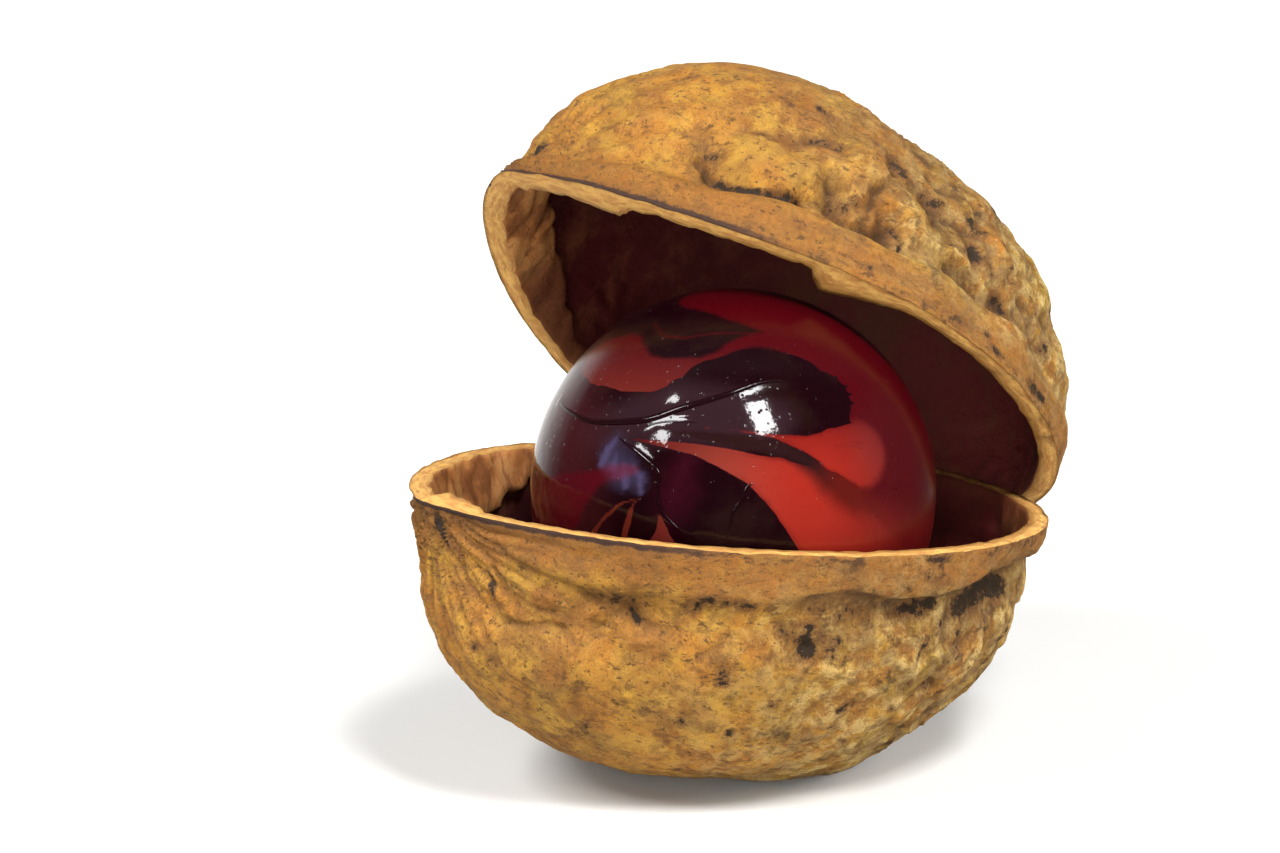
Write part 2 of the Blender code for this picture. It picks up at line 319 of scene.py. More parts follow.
# %% [markdown]
# A half shell could be sculpted by hand, but its shape follows simple rules, so it is written
# down instead: an egg-like body, a proud band along the rim, a groove under the band, folds that
# run out from the pointed tip, and a few named dents. Each half has its own numbers. They are
# the ones that its solid was made from, in millimetres, in the half's own frame: the rim lies
# in the plane z = 0, the dome rises towards +z, and the tip points to -x.

# %% The numbers that both halves share
# The body: half its length and width, and how much wider it is at its blunt end.
HALF_LENGTH = 20.5
HALF_WIDTH = 15.5
EGG = 0.06
TIP_REACH = 1.0
TIP_ANGLE = 0.32
TIP_HEIGHT = 2.5
# The wall, and the gap that the foot of the partition leaves to the marble.
WALL_AT_RIM = 1.1
WALL_AT_TOP = 1.4
GAP = 0.3
FOOT_HEIGHT = 6.0
# The band, the groove and the wave of the rim.
BAND_FADE = 1.3
GROOVE_NEAR = 0.9
GROOVE_FAR = 2.4
WAVE_HEIGHT = 4.0
# The folds at the tip, then the soft swells and hills of the dome.
FOLDS = 13
FOLD_DEPTH = 0.16
FOLD_REACH = 13.0
FOLD_START = 3.0
FOLD_WANDER = 1.6
WANDER_SIZE = 6.0
SWELL_SIZE = 8.0
SWELL_HEIGHT = 0.32
HILL_SIZE = 3.6
HILL_HEIGHT = 0.42
HILLS_START = -10.0
HILLS_FULL = 4.0
CLEAR_OF_RIM = 3.0
INNER_SWELL_SIZE = 5.0
INNER_SWELL_HEIGHT = 0.25
# Where each of them is taken from the noise.
WANDER_PLACE = 3.1
HILL_PLACE = 5.3
SWELL_PLACE = 11.7
INNER_PLACE = 21.0


# %% The numbers of each half
class Half:
    """The sizes and place of one half shell; its dents and marks are listed further down."""

    def __init__(self, node, near, depth, lean, fullness, turn, centre):
        self.node = node
        self.near = near
        self.depth = depth
        self.lean = lean
        self.fullness = fullness
        self.turn = [math.radians(angle) for angle in turn]
        self.centre = Vector(centre)
        self.wave = ()
        self.lips = ()
        self.ledge_tone = 1.0

    def matrix(self):
        rolled = Matrix.Rotation(self.turn[0], 4, "X")
        pitched = Matrix.Rotation(self.turn[1], 4, "Y") @ rolled
        return Matrix.Translation(self.centre) @ Matrix.Rotation(self.turn[2], 4, "Z") @ pitched

    def to_frame(self):
        return Matrix.Translation(MARBLE_CENTRE) @ Matrix.Scale(MM, 4) @ self.matrix()


LOWER = Half("shell_lower", 1, 17.5, -0.03, 0.90, (180, 6.8, 29.2), (-0.1, 1.8, -0.7))
UPPER = Half("shell_upper", -1, 17.6, -0.07, 0.20, (-27.3, 35.8, 20.9), (2.15, 11, 5.7))

# The band by place along the nut: x, how high it reaches, the groove's depth, the band's rise.
LOWER.band = (
    (-21, 2.6, 0.05, 0.15), (-16, 3.2, 0.15, 0.20), (-12, 3.3, 0.35, 0.45),
    (-6, 3.2, 0.20, 0.50), (2, 2.9, 0.35, 0.50), (8, 2.9, 0.70, 0.50), (14, 2.2, 0.75, 0.50),
    (21, 1.8, 0.60, 0.50),
)
UPPER.band = (
    (-21, 2.0, 0.15, 0.35), (-13, 2.6, 0.60, 0.50), (-8.7, 3.1, 0.65, 0.50),
    (-4, 3.3, 0.65, 0.50), (4, 3.7, 0.60, 0.50), (9, 4.2, 0.60, 0.50), (15, 3.2, 0.50, 0.50),
    (21, 1.8, 0.30, 0.50),
)
# Dents and swells on the near side: x, height above the rim, radius, rise.
LOWER.dents = (
    (-19.0, 6.0, 4.5, 0.45), (-17.4, 9.2, 4.5, 0.42), (-17.0, 7.6, 2.4, 0.35),
    (-14.2, 7.8, 2.4, 0.30), (-12.6, 4.4, 2.2, -0.40), (-7.5, 8.5, 3.4, 0.25),
    (-2.6, 6.2, 1.8, -0.40), (1.0, 4.2, 2.0, -0.30), (4.2, 4.2, 2.0, -0.40),
    (6.6, 7.0, 3.0, 0.30), (10.4, 3.7, 2.6, -0.60), (13.6, 3.0, 2.2, -0.45),
    (13.0, 8.5, 3.2, 0.30),
)
UPPER.dents = (
    (-19.4, 5.6, 3.2, -0.45), (-14.0, 3.9, 2.0, -0.55), (-11.4, 4.3, 2.4, 0.70),
    (-8.6, 5.2, 2.2, 0.40), (-6.6, 4.3, 1.7, -0.60), (-5.8, 6.6, 2.2, 0.40),
    (-2.9, 4.5, 1.8, -0.60), (-0.4, 8.4, 1.8, -0.55), (-3.2, 10.2, 2.4, -0.30),
    (2.6, 7.6, 2.6, -0.35), (5.0, 7.4, 2.2, 0.45), (5.4, 4.2, 2.0, -0.50),
    (9.6, 4.8, 2.2, -0.40), (12.0, 4.6, 2.4, -0.55), (11.5, 9.0, 3.0, 0.35),
    (16.0, 6.5, 4.0, 0.90), (-18.9, 8.2, 3.5, 0.55), (0.2, 14.4, 4.0, -0.55),
)
# Creases: width, rise, then points of x and height.
LOWER.creases = (
    (0.9, -0.30, (-18.6, 5.2), (-17.2, 6.2), (-16.0, 5.7), (-14.0, 6.0)),
    (1.1, -0.25, (-18.6, 7.2), (-16.6, 9.4), (-14.6, 10.4)),
    (1.2, 0.25, (-19.2, 6.4), (-17.2, 8.6), (-14.8, 9.4)),
)
UPPER.creases = (
    (1.0, -0.45, (-13.7, 3.6), (-12.0, 3.0), (-10.4, 3.3), (-9.0, 3.7)),
    (1.5, 0.60, (-4.4, 8.6), (-3.1, 7.2), (-1.9, 6.0)),
    (1.2, -0.35, (-9.6, 8.0), (-7.4, 9.4), (-5.2, 12.0)),
)
UPPER.wave = ((2, 0.45, 0.46), (3, 0.17, 0.46))
LOWER.seat = (4.6, 8.0, 3.2)
UPPER.seat = (3.0, 8.0, 3.2)
print("halves:", LOWER.node, UPPER.node)

# %% [markdown]
# The shape rules work on whole arrays of points at once, because each half has tens of
# thousands of them. A surface starts from directions on a unit half ball and ends as places in
# millimetres. These rules are the coarse form, the same as the solids have.


# %% The body, and ways to measure on it
def body(half, directions, shrink=0.0, shrink_top=0.0):
    """Points of the egg-like body in these directions from its middle."""
    s = directions[:, 0]
    width = (HALF_WIDTH - shrink) * (1 + EGG * s)
    depth = (half.depth - shrink_top) * (1 + half.lean * s)
    x = (HALF_LENGTH - shrink) * s
    return np.stack([x, width * directions[:, 1], depth * directions[:, 2]], axis=1)


def outward(points, depth):
    """The directions in which the body faces at these points."""
    facing = points / np.array([HALF_LENGTH, HALF_WIDTH, depth]) ** 2
    return facing / np.linalg.norm(facing, axis=1)[:, None]


def on_side(half, x, height):
    """The point of the near side at this x and height."""
    s, up = x / HALF_LENGTH, height / half.depth
    across = math.sqrt(max(1 - s * s - up * up, 0.0))
    return np.array([x, half.near * HALF_WIDTH * (1 + EGG * s) * across, height])


def distance_to_path(points, path):
    """How far each point is from a path of straight pieces."""
    nearest = np.full(len(points), np.inf)
    for start, end in zip(path[:-1], path[1:]):
        along = end - start
        share = np.clip((points - start) @ along / max(along @ along, 1e-9), 0, 1)
        away = np.linalg.norm(points - start - share[:, None] * along, axis=1)
        nearest = np.minimum(nearest, away)
    return nearest


def smooth_noise(points, size, shift):
    """Soft noise from -1 to 1 with hills of about this size; each shift is another pattern."""
    moved = points / size + shift
    return np.array([noise.noise(point) for point in moved.tolist()])


def bell(away, width):
    """1 where nothing is away, and fading out over about this width."""
    return np.exp(-((away / width) ** 2))


def near_rim(points, height):
    """1 at the rim, and fading out over about this height above it."""
    return np.exp(-points[:, 2] / height)


# %% Band, folds, dents and swells
def rim_band(half, points):
    """The proud band along the rim, and the groove where it meets the dome."""
    places, heights, depths, rises = (np.array(column) for column in zip(*half.band))
    x = points[:, 0]
    past = points[:, 2] - np.interp(x, places, heights)
    share = np.clip(0.5 - past / BAND_FADE, 0, 1)
    rise = np.interp(x, places, rises) * share * share * (3 - 2 * share)
    below = past - 0.5 * BAND_FADE
    width = np.where(below < 0, GROOVE_NEAR, GROOVE_FAR)
    return rise - np.interp(x, places, depths) * bell(below, width)


def around_tip(half, points):
    """The angle round the nut's long axis, and how far each point is from the tip."""
    around = np.arctan2(points[:, 2] / half.depth, half.near * points[:, 1] / HALF_WIDTH)
    return around, np.linalg.norm(points - np.array([-HALF_LENGTH, 0.0, 0.0]), axis=1)


def folds(half, points):
    """Folds that run out from the tip and fade along the nut."""
    around, distance = around_tip(half, points)
    wander = FOLD_WANDER * smooth_noise(points, WANDER_SIZE, WANDER_PLACE)
    fade = bell(distance, FOLD_REACH) * np.clip(distance / FOLD_START, 0, 1)
    return -FOLD_DEPTH * fade * (1 - np.cos(2 * FOLDS * around + wander))


def bent_aside(points, amount, size, shift):
    """The same points, pushed aside by noise, so that round dents become ragged."""
    push = [smooth_noise(points, size, shift + part) for part in range(3)]
    return points + amount * np.stack(push, axis=1)


def dents(half, points, spots, creases, ragged=0.8):
    """The height of named dents, swells and creases of the near side."""
    points = bent_aside(points, ragged, 2.0, 23.0)
    rise = np.zeros(len(points))
    for x, height, radius, amount in spots:
        away = np.linalg.norm(points - on_side(half, x, height), axis=1)
        rise += amount * bell(away, radius)
    for width, amount, *stops in creases:
        away = distance_to_path(points, [on_side(half, *stop) for stop in stops])
        rise += amount * bell(away, width)
    return rise


def roughness(half, points):
    """Soft swells everywhere, and hills that grow stronger towards the blunt end."""
    swell = SWELL_HEIGHT * smooth_noise(points, SWELL_SIZE, SWELL_PLACE + half.near)
    hills = HILL_HEIGHT * smooth_noise(points, HILL_SIZE, HILL_PLACE + half.near)
    share = np.clip((points[:, 0] - HILLS_START) / (HILLS_FULL - HILLS_START), 0.15, 1)
    return (swell + hills * share) * np.clip(points[:, 2] / CLEAR_OF_RIM, 0.2, 1)


def rim_wave(half, points):
    """How far the rim bends out of its plane here."""
    around = np.arctan2(-half.near * points[:, 1] / HALF_WIDTH, -points[:, 0] / HALF_LENGTH)
    lift = np.zeros(len(points))
    for turns, with_cosine, with_sine in half.wave:
        lift += with_cosine * np.cos(turns * around) + with_sine * np.sin(turns * around)
    return lift * near_rim(points, WAVE_HEIGHT)


def tip(points):
    """The pointed tip: how far -x the rim's end is drawn out."""
    around = np.arctan2(points[:, 1] / HALF_WIDTH, -points[:, 0] / HALF_LENGTH)
    sharp = np.exp(-((np.abs(around) / TIP_ANGLE) ** 1.3))
    return TIP_REACH * near_rim(points, TIP_HEIGHT) * sharp


def fuller(half, directions):
    """How much fuller than an egg the dome is between its rim and its top."""
    up = directions[:, 2]
    return half.fullness * 4 * up**2 * (1 - up**2)


# %% [markdown]
# What the solids leave out is the fine relief: creases as thin as a hair round the tip, small
# crumples, and the pits where the husk's threads left the shell. Nearly all of it is cut inwards
# from the coarse form, so that the dressed shell stays within its solid. The crumpled ground is
# made of winding lines of noise: some are cut in as valleys, and others are left standing as
# sharp crests. The depth of each point is kept, because the paint darkens what is deep as
# painted shade.

# %% Fine dents, creases and lips of each half
# Dents: x, height, radius, rise. Creases: width, rise, then points of x and height.
LOWER.fine_dents = (
    (-2.7, 6.0, 0.7, -0.22), (-1.2, 5.3, 0.7, -0.18), (-7.4, 7.8, 0.8, -0.14),
    (5.2, 8.8, 0.6, -0.14), (-12.8, 3.7, 1.0, -0.20), (7.7, 5.6, 0.8, -0.16),
)
LOWER.fine_creases = (
    (0.24, -0.36, (-18.5, 5.2), (-17.7, 6.2), (-16.9, 6.2), (-16.3, 6.0), (-15.5, 6.2), (-15.0, 6.7)),
    (0.22, -0.26, (-20.6, 0.7), (-20.2, 2.6), (-19.9, 4.4), (-19.1, 6.5), (-18.3, 8.6), (-17.3, 10.4)),
    (0.22, -0.28, (-20.4, 0.7), (-19.8, 2.7), (-19.1, 4.8), (-17.9, 6.8), (-16.7, 8.4), (-15.4, 9.8)),
    (0.20, -0.24, (-20.2, 0.6), (-19.3, 2.2), (-18.4, 3.9), (-17.4, 5.0), (-16.3, 5.2)),
    (0.20, -0.24, (-20.0, 0.7), (-18.8, 1.8), (-17.4, 2.8), (-16.2, 3.1), (-15.3, 3.6), (-14.5, 4.2)),
    (0.18, -0.22, (-20.4, 3.2), (-20.2, 5.6), (-19.5, 8.2)),
    (0.18, -0.20, (-18.9, 2.9), (-18.0, 4.6), (-17.5, 5.6)),
    (0.26, -0.24, (-15.3, 3.4), (-14.4, 3.9), (-13.3, 4.3), (-12.3, 5.0), (-11.6, 5.6)),
    (0.20, -0.18, (-14.4, 5.6), (-13.9, 5.9), (-13.6, 5.2)),
    (0.28, 0.16, (-15.2, 6.6), (-14.6, 7.6), (-13.0, 8.9), (-11.1, 9.6)),
    (0.30, 0.14, (-14.4, 4.9), (-13.0, 5.5), (-12.0, 6.4), (-11.2, 6.2)),
    (0.22, -0.16, (-8.9, 7.0), (-8.3, 6.2), (-7.9, 6.0)),
    (0.22, -0.16, (0.8, 12.2), (2.2, 12.2), (3.4, 13.0)),
    (0.30, 0.14, (3.0, 6.2), (5.0, 7.4), (7.2, 7.2), (9.0, 6.2)),
    (0.26, -0.18, (4.6, 5.0), (6.2, 6.6), (7.8, 8.6)),
    (0.26, 0.12, (-3.2, 7.4), (-1.6, 7.0), (0.4, 7.6), (2.0, 8.6)),
)
# Lips are edges that hang over what is below them: depth, then points of x and height.
LOWER.lips = (
    (0.50, (-4.4, 2.9), (-3.2, 2.5), (-0.4, 2.3), (1.8, 2.8), (3.1, 3.2)),
    (0.60, (2.4, 3.1), (3.6, 3.2), (5.9, 3.0), (7.6, 2.5)),
    (0.65, (6.8, 2.9), (8.6, 2.4), (10.2, 2.0), (14.0, 2.0), (17.0, 2.0)),
)
UPPER.fine_dents = (
    (-20.6, 2.8, 0.5, -0.25), (-2.9, 4.6, 0.7, -0.25), (-0.3, 8.4, 0.8, -0.30),
    (3.3, 9.4, 0.8, -0.15), (3.7, 6.9, 0.8, -0.20), (6.9, 4.8, 0.8, -0.25),
    (-12.6, 5.2, 1.3, 0.22), (-14.9, 5.4, 1.2, -0.16), (-9.4, 5.4, 1.3, 0.22),
    (-1.2, 6.4, 1.2, 0.25),
)
UPPER.fine_creases = (
    (
        0.24, -0.44, (-14.8, 4.4), (-14.3, 4.1), (-13.6, 3.5), (-12.8, 3.2), (-12.1, 3.0),
        (-11.0, 3.2), (-10.2, 3.4), (-8.7, 3.8),
    ),
    (0.30, -0.30, (-8.7, 3.8), (-7.6, 4.2), (-6.6, 4.1), (-5.0, 3.9), (-3.6, 4.2)),
    (0.34, -0.26, (-12.9, 6.7), (-11.4, 7.3), (-9.8, 7.8), (-8.2, 8.5), (-7.2, 8.5)),
    (0.28, -0.30, (-8.3, 7.0), (-8.0, 6.2), (-7.4, 5.2), (-6.9, 4.4)),
    (0.28, -0.30, (-3.2, 10.5), (-3.0, 8.9), (-3.6, 7.6), (-4.4, 6.4), (-4.2, 5.2)),
    (0.24, -0.32, (-4.1, 6.0), (-3.4, 5.2), (-2.9, 4.4), (-2.0, 3.9)),
    (0.14, -0.30, (-2.4, 5.3), (-1.7, 4.7), (-1.5, 4.0), (-1.9, 3.5)),
    (0.28, -0.28, (-0.3, 8.8), (0.4, 7.6), (1.2, 6.6), (1.4, 5.4)),
    (0.30, 0.18, (-1.6, 5.2), (0.2, 5.4), (1.8, 6.0), (3.2, 5.6)),
    (0.28, -0.24, (4.4, 8.6), (5.2, 7.0), (6.4, 5.6), (7.6, 5.0)),
    (0.28, -0.22, (8.6, 8.0), (9.6, 6.8), (10.8, 6.0)),
)
# Where the crumpled ground starts along x, where it is strongest, and its least share.
LOWER.rough_ground = (-8.0, 12.0, 0.28)
UPPER.rough_ground = (-11.5, -5.0, 0.10)
# How deep the hair-thin creases at the tip are, and how pale the ledge of the lining is.
LOWER.tip_line_depth = 0.50
UPPER.tip_line_depth = 0.12
LOWER.ledge_tone = 0.90
print("fine creases:", len(LOWER.fine_creases), "and", len(UPPER.fine_creases))


# %% The fine relief
TIP_LINES = 60
TIP_LINE_REACH = 8.0
CRUMPLE_SIZE = 3.3
CRUMPLE_DEPTH = 0.46
CRUMPLES_FROM = 3.0
CRUMPLES_FADE = 1.6
GRAIN_SIZE = 0.75
GRAIN_DEPTH = 0.02
STREAK_DEPTH = 0.07
PIT_SPACING = 2.1
PIT_RADIUS = 0.30
PIT_DEPTH = 0.10
PIT_FROM = 0.1
LIP_SHARP = 0.16
LIP_WIDE = 1.1
KEPT_BACK = 0.04


def thin_lines(points, size, shift, sharpness):
    """Winding lines of noise, 1 on a line and 0 off it; the sharper, the thinner."""
    return np.clip(1 - np.abs(smooth_noise(points, size, shift)) * sharpness, 0, 1)


def tip_lines(half, points):
    """Hair-thin creases that fan out from the tip."""
    around, distance = around_tip(half, points)
    wander = 2.2 * smooth_noise(points, 2.5, 31.0)
    strength = 0.5 + 0.5 * smooth_noise(points, 1.8, 37.0)
    sharp = np.abs(np.sin(TIP_LINES * around / 2 + wander)) ** 0.6
    fade = bell(distance, TIP_LINE_REACH) * np.clip(distance / 0.8, 0, 1)
    return -half.tip_line_depth * fade * (1 - sharp) * (0.6 + strength)


def crumples(half, points):
    """Hills with sharp valleys between them and sharp crests across them, where it is rough."""
    bent = bent_aside(points, 1.0, 2.4, 41.0)
    valley = thin_lines(bent, CRUMPLE_SIZE, 45.0 + half.near, 2.6) ** 1.5
    fine_valley = thin_lines(bent, CRUMPLE_SIZE / 2.2, 49.0 + half.near, 2.4) ** 1.7
    wrinkle = thin_lines(bent, 0.8, 51.0 + half.near, 2.2) ** 2
    crest = thin_lines(bent, 2.9, 55.0 + half.near, 3.2) ** 1.4
    creased = (valley + 0.30 * fine_valley) * (1 - 0.75 * crest)
    creased += 0.40 * (1 - crest) + 0.24 * wrinkle
    start, full, least = half.rough_ground
    share = np.clip((points[:, 0] - start) / (full - start), least, 1)
    share *= 0.65 + 0.5 * smooth_noise(points, 6.0, 53.0 + half.near)
    share *= np.clip((points[:, 2] - CRUMPLES_FROM) / CRUMPLES_FADE, 0.06, 1)
    return -CRUMPLE_DEPTH * creased * share


def streaks(half, points):
    """Shallow wrinkles that run along the nut."""
    stretched = points * np.array([0.35, 1.0, 1.0])
    stretched = stretched + 0.5 * smooth_noise(points, 2.6, 57.0)[:, None]
    return -STREAK_DEPTH * thin_lines(stretched, 0.9, 61.0 + half.near, 2.4) ** 2


def pits(points):
    """Small round pits, one here and there."""
    depth = np.zeros(len(points))
    for row, point in enumerate((points / PIT_SPACING).tolist()):
        distances, centres = noise.voronoi(point)
        if noise.cell(centres[0]) > PIT_FROM:
            depth[row] = bell(distances[0] * PIT_SPACING, PIT_RADIUS)
    return -PIT_DEPTH * depth


def lips(half, points):
    """Hollows right under the sharp lower edge of the band."""
    depth = np.zeros(len(points))
    near = np.clip(half.near * points[:, 1] / 3.0, 0, 1)
    for amount, *stops in half.lips:
        places, heights = zip(*stops)
        past = points[:, 2] - np.interp(points[:, 0], places, heights)
        width = np.where(past < 0, LIP_SHARP, LIP_WIDE)
        inside = (points[:, 0] - places[0]) * (places[-1] - points[:, 0])
        within = np.clip(inside / (places[-1] - places[0]), 0, 1)
        depth += amount * within * near * bell(past, width)
    return -depth


def fine_relief(half, points):
    """All the fine relief together: how far the surface stands out or in."""
    named = dents(half, points, half.fine_dents, half.fine_creases, 0.25)
    grain = GRAIN_DEPTH * smooth_noise(points, GRAIN_SIZE, 65.0)
    ground = tip_lines(half, points) + crumples(half, points) + streaks(half, points)
    off_rim = np.clip(points[:, 2] / 0.9, 0.15, 1)
    return named + lips(half, points) + (ground + pits(points) + grain) * off_rim - KEPT_BACK


# %% [markdown]
# The mesh itself starts as a cube whose faces are cut into a grid. Pushed out onto a ball, its
# squares stay almost equal everywhere, while a ball made of rings would crowd at its poles.
# Cutting it at the equator leaves an open half ball, with one row of edges along the rim.


# %% A ball and a half ball from a cube
def cube_ball(rows):
    """A closed ball of radius 1 from a cube cut into a grid."""
    bm = bmesh.new()
    bmesh.ops.create_cube(bm, size=2.0)
    bmesh.ops.subdivide_edges(bm, edges=bm.edges[:], cuts=rows - 1, use_grid_fill=True)
    quarter = math.pi / 4
    for vert in bm.verts:
        vert.co = Vector([math.tan(part * quarter) for part in vert.co])
        vert.co.normalize()
    return bm


def half_ball(rows):
    """The upper half of such a ball, open at its rim."""
    bm = cube_ball(rows)
    everything = bm.verts[:] + bm.edges[:] + bm.faces[:]
    bmesh.ops.bisect_plane(
        bm, geom=everything, dist=1e-5, plane_co=(0, 0, 0), plane_no=(0, 0, 1), clear_inner=True
    )
    return bm


test = half_ball(4)
print("a small half ball:", len(test.verts), "points,", len(test.faces), "faces")
test.free()

# %% [markdown]
# A shell has three surfaces: the skin outside, the lining inside, and the broken face of the
# rim between them. The rim's face is made of rings. Each ring is the last one extruded, and
# stays a row of directions until the end, when every ring takes its place between skin and
# lining. The break isn't smooth: its layers step up and down, and its edges are ragged.

# %% The skin and its ragged edge
OUTER_ROWS = 156
INNER_ROWS = 78
SHARES = (0.0, 0.10, 0.28, 0.46, 0.64, 0.82, 1.0)
JAG_DEPTH = 0.16
LEAST_WALL = 0.40
THIN_RIM = 0.35
LEDGE_LINE = ((-20.0, 5.6), (-13.8, 4.9), (-11.2, 4.0), (-9.1, 2.6), (-7.0, 1.8), (-4.0, 1.2))
LEDGE_HEIGHT = 0.9
LEDGE_START = 2.6
RIB_SPACING = 1.9
RIB_DEPTH = 0.22
EDGE_FADE = 0.5
TEAR_FADE = 0.9
THIN_FADE = 1.2
# Splinters along the rim: blunt end, peak and thin end along x, how far in, how far out.
LOWER.tears = ((-20.6, -20.0, -18.6, 1.0, 0.55),)
UPPER.tears = ((-16.2, -17.0, -20.6, 1.3, 0.10), (-6.6, -5.2, -0.2, 1.9, 0.35))


def jag(points, shift):
    """How far the broken edge is eaten away here."""
    coarse = np.clip(smooth_noise(points, 1.6, shift), 0, 1)
    fine = np.clip(smooth_noise(points, 0.5, shift + 3), 0, 1)
    return JAG_DEPTH * (coarse + 0.3 * fine)


def skin_rise(half, directions):
    """The smooth body in these directions, the coarse rise of its skin, and the fine one."""
    points = body(half, directions)
    rise = fuller(half, directions) + rim_band(half, points) + folds(half, points)
    rise += dents(half, points, half.dents, half.creases) + roughness(half, points)
    return points, rise, fine_relief(half, points)


def ragged_rim(half, points, shift):
    """How far the rim's edge bends with the rim, and is eaten away."""
    return rim_wave(half, points) + jag(points, shift) * near_rim(points, EDGE_FADE)


def outer_surface(half, directions):
    """The outside of a half shell, and its fine relief."""
    points, rise, fine = skin_rise(half, directions)
    moved = points + outward(points, half.depth) * (rise + fine)[:, None]
    moved[:, 0] -= tip(points)
    moved[:, 2] += ragged_rim(half, points, 71.0)
    hollow = np.minimum(dents(half, points, half.dents, half.creases), 0)
    return moved, points, fine + 0.5 * hollow


# %% The inside
def partition_foot(half, points):
    """Draws the inside in towards the marble along the middle, and stops short of it."""
    marble = np.array(half.matrix().inverted() @ Vector((0, 0, 0)))
    height, half_length, half_width = half.seat
    reach = (points[:, 0] / half_length) ** 2 + (points[:, 1] / half_width) ** 2
    inward = marble - points
    distance = np.linalg.norm(inward, axis=1)
    on_dome = np.clip(points[:, 2] / FOOT_HEIGHT, 0, 1)
    room = np.maximum(distance - MARBLE_RADIUS - GAP, 0.0)
    step = np.minimum(height * np.exp(-reach) * on_dome, room)
    return points + inward * (step / distance)[:, None]


def ledge(half, points):
    """The thick part of the wall near the tip, which ends at a torn edge, and its ribs."""
    places, heights = zip(*LEDGE_LINE)
    torn = 0.6 * smooth_noise(points, 1.6, 87.0) + 0.22 * smooth_noise(points, 0.6, 88.0)
    below = np.interp(points[:, 0], places, heights) + torn - points[:, 2]
    thick = np.clip(below / 0.35, 0, 1) * np.clip((-3.0 - points[:, 0]) / 3.0, 0, 1)
    wander = 1.2 * smooth_noise(points, 3.0, 89.0)
    rib = np.abs(np.sin(math.pi * (points[:, 0] + 0.5 * points[:, 2] + wander) / RIB_SPACING))
    height = LEDGE_HEIGHT * np.clip(points[:, 2] / LEDGE_START, 0, 1) - RIB_DEPTH * (1 - rib) ** 3
    return half.ledge_tone * thick, thick * height


def tears(half, points):
    """Splinters at the inner edge of the rim: how far they reach in, and out of the rim."""
    x = points[:, 0] + 0.25 * smooth_noise(points, 0.5, 95.0)
    low = near_rim(points, TEAR_FADE) * (half.near * points[:, 1] > -0.5)
    reach, lift = np.zeros(len(points)), np.zeros(len(points))
    for blunt_end, peak, thin_end, inward, out in half.tears:
        share = np.interp(x, sorted((blunt_end, peak, thin_end)), (0, 1, 0)) * low
        reach += inward * share
        lift -= out * share
    return reach, lift


def inner_surface(half, directions):
    """The inside of a half shell, with the foot of its partition against the marble."""
    places = body(half, directions, WALL_AT_RIM, WALL_AT_TOP)
    _, skin, fine = skin_rise(half, directions)
    swell = INNER_SWELL_HEIGHT * smooth_noise(places, INNER_SWELL_SIZE, INNER_PLACE + half.near)
    rise = fuller(half, directions) + swell * directions[:, 2]
    thick, height = ledge(half, places)
    veins = thin_lines(places, 3.2, 81.0 + half.near, 3) ** 2
    relief = 0.12 * veins + 0.05 * smooth_noise(places, 0.8, 85.0)
    reach, lift = tears(half, places)
    rise -= relief + height + reach
    past_tip = np.clip((places[:, 0] + 15) / 5, 0, 1)
    rise += THIN_RIM * near_rim(places, THIN_FADE) * past_tip
    rise = np.minimum(rise, skin + fine + WALL_AT_RIM - LEAST_WALL)
    moved = places + outward(places, half.depth) * rise[:, None]
    moved[:, 0] -= 0.8 * tip(places)
    moved[:, 2] += ragged_rim(half, places, 75.0) + lift
    return partition_foot(half, moved), places, thick


# %% Rings of the broken rim
def rim_ring(half, directions, share):
    """One ring of the rim's broken face, this share of the way from skin to lining."""
    outer, outer_places, _ = outer_surface(half, directions)
    inner, inner_places, _ = inner_surface(half, directions)
    places = outer_places + (inner_places - outer_places) * share
    moved = outer + (inner - outer) * share
    layers = 0.10 * smooth_noise(places, 1.3, 91.0 + 2 * share)
    layers += 0.03 * smooth_noise(places, 0.4, 93.0)
    rounded = 0.20 * (2 * abs(share - 0.5)) ** 3
    moved[:, 2] += layers + rounded
    return moved, places, layers


# %% [markdown]
# Both surfaces and the rings are joined in one mesh. The lining has half as many rows as the
# skin, because it is smoother, and bridging two loops of unlike length fills the step between
# them with triangles. Three attributes go with each point, for the paint: where it sits on the
# undented nut, how deep it lies, and how far it is across the broken rim. On the lining the
# second one says how much of the thick ledge is there.

# %% Join the surfaces of a half shell
BREAK, LINING = 1, 2  # the numbers of their paints; the skin's is 0


def shell_surface(half, directions, share):
    """One surface of the half shell, this share of the way from its skin to its lining."""
    if share == 0.0:
        return outer_surface(half, directions)
    if share == 1.0:
        return inner_surface(half, directions)
    return rim_ring(half, directions, share)


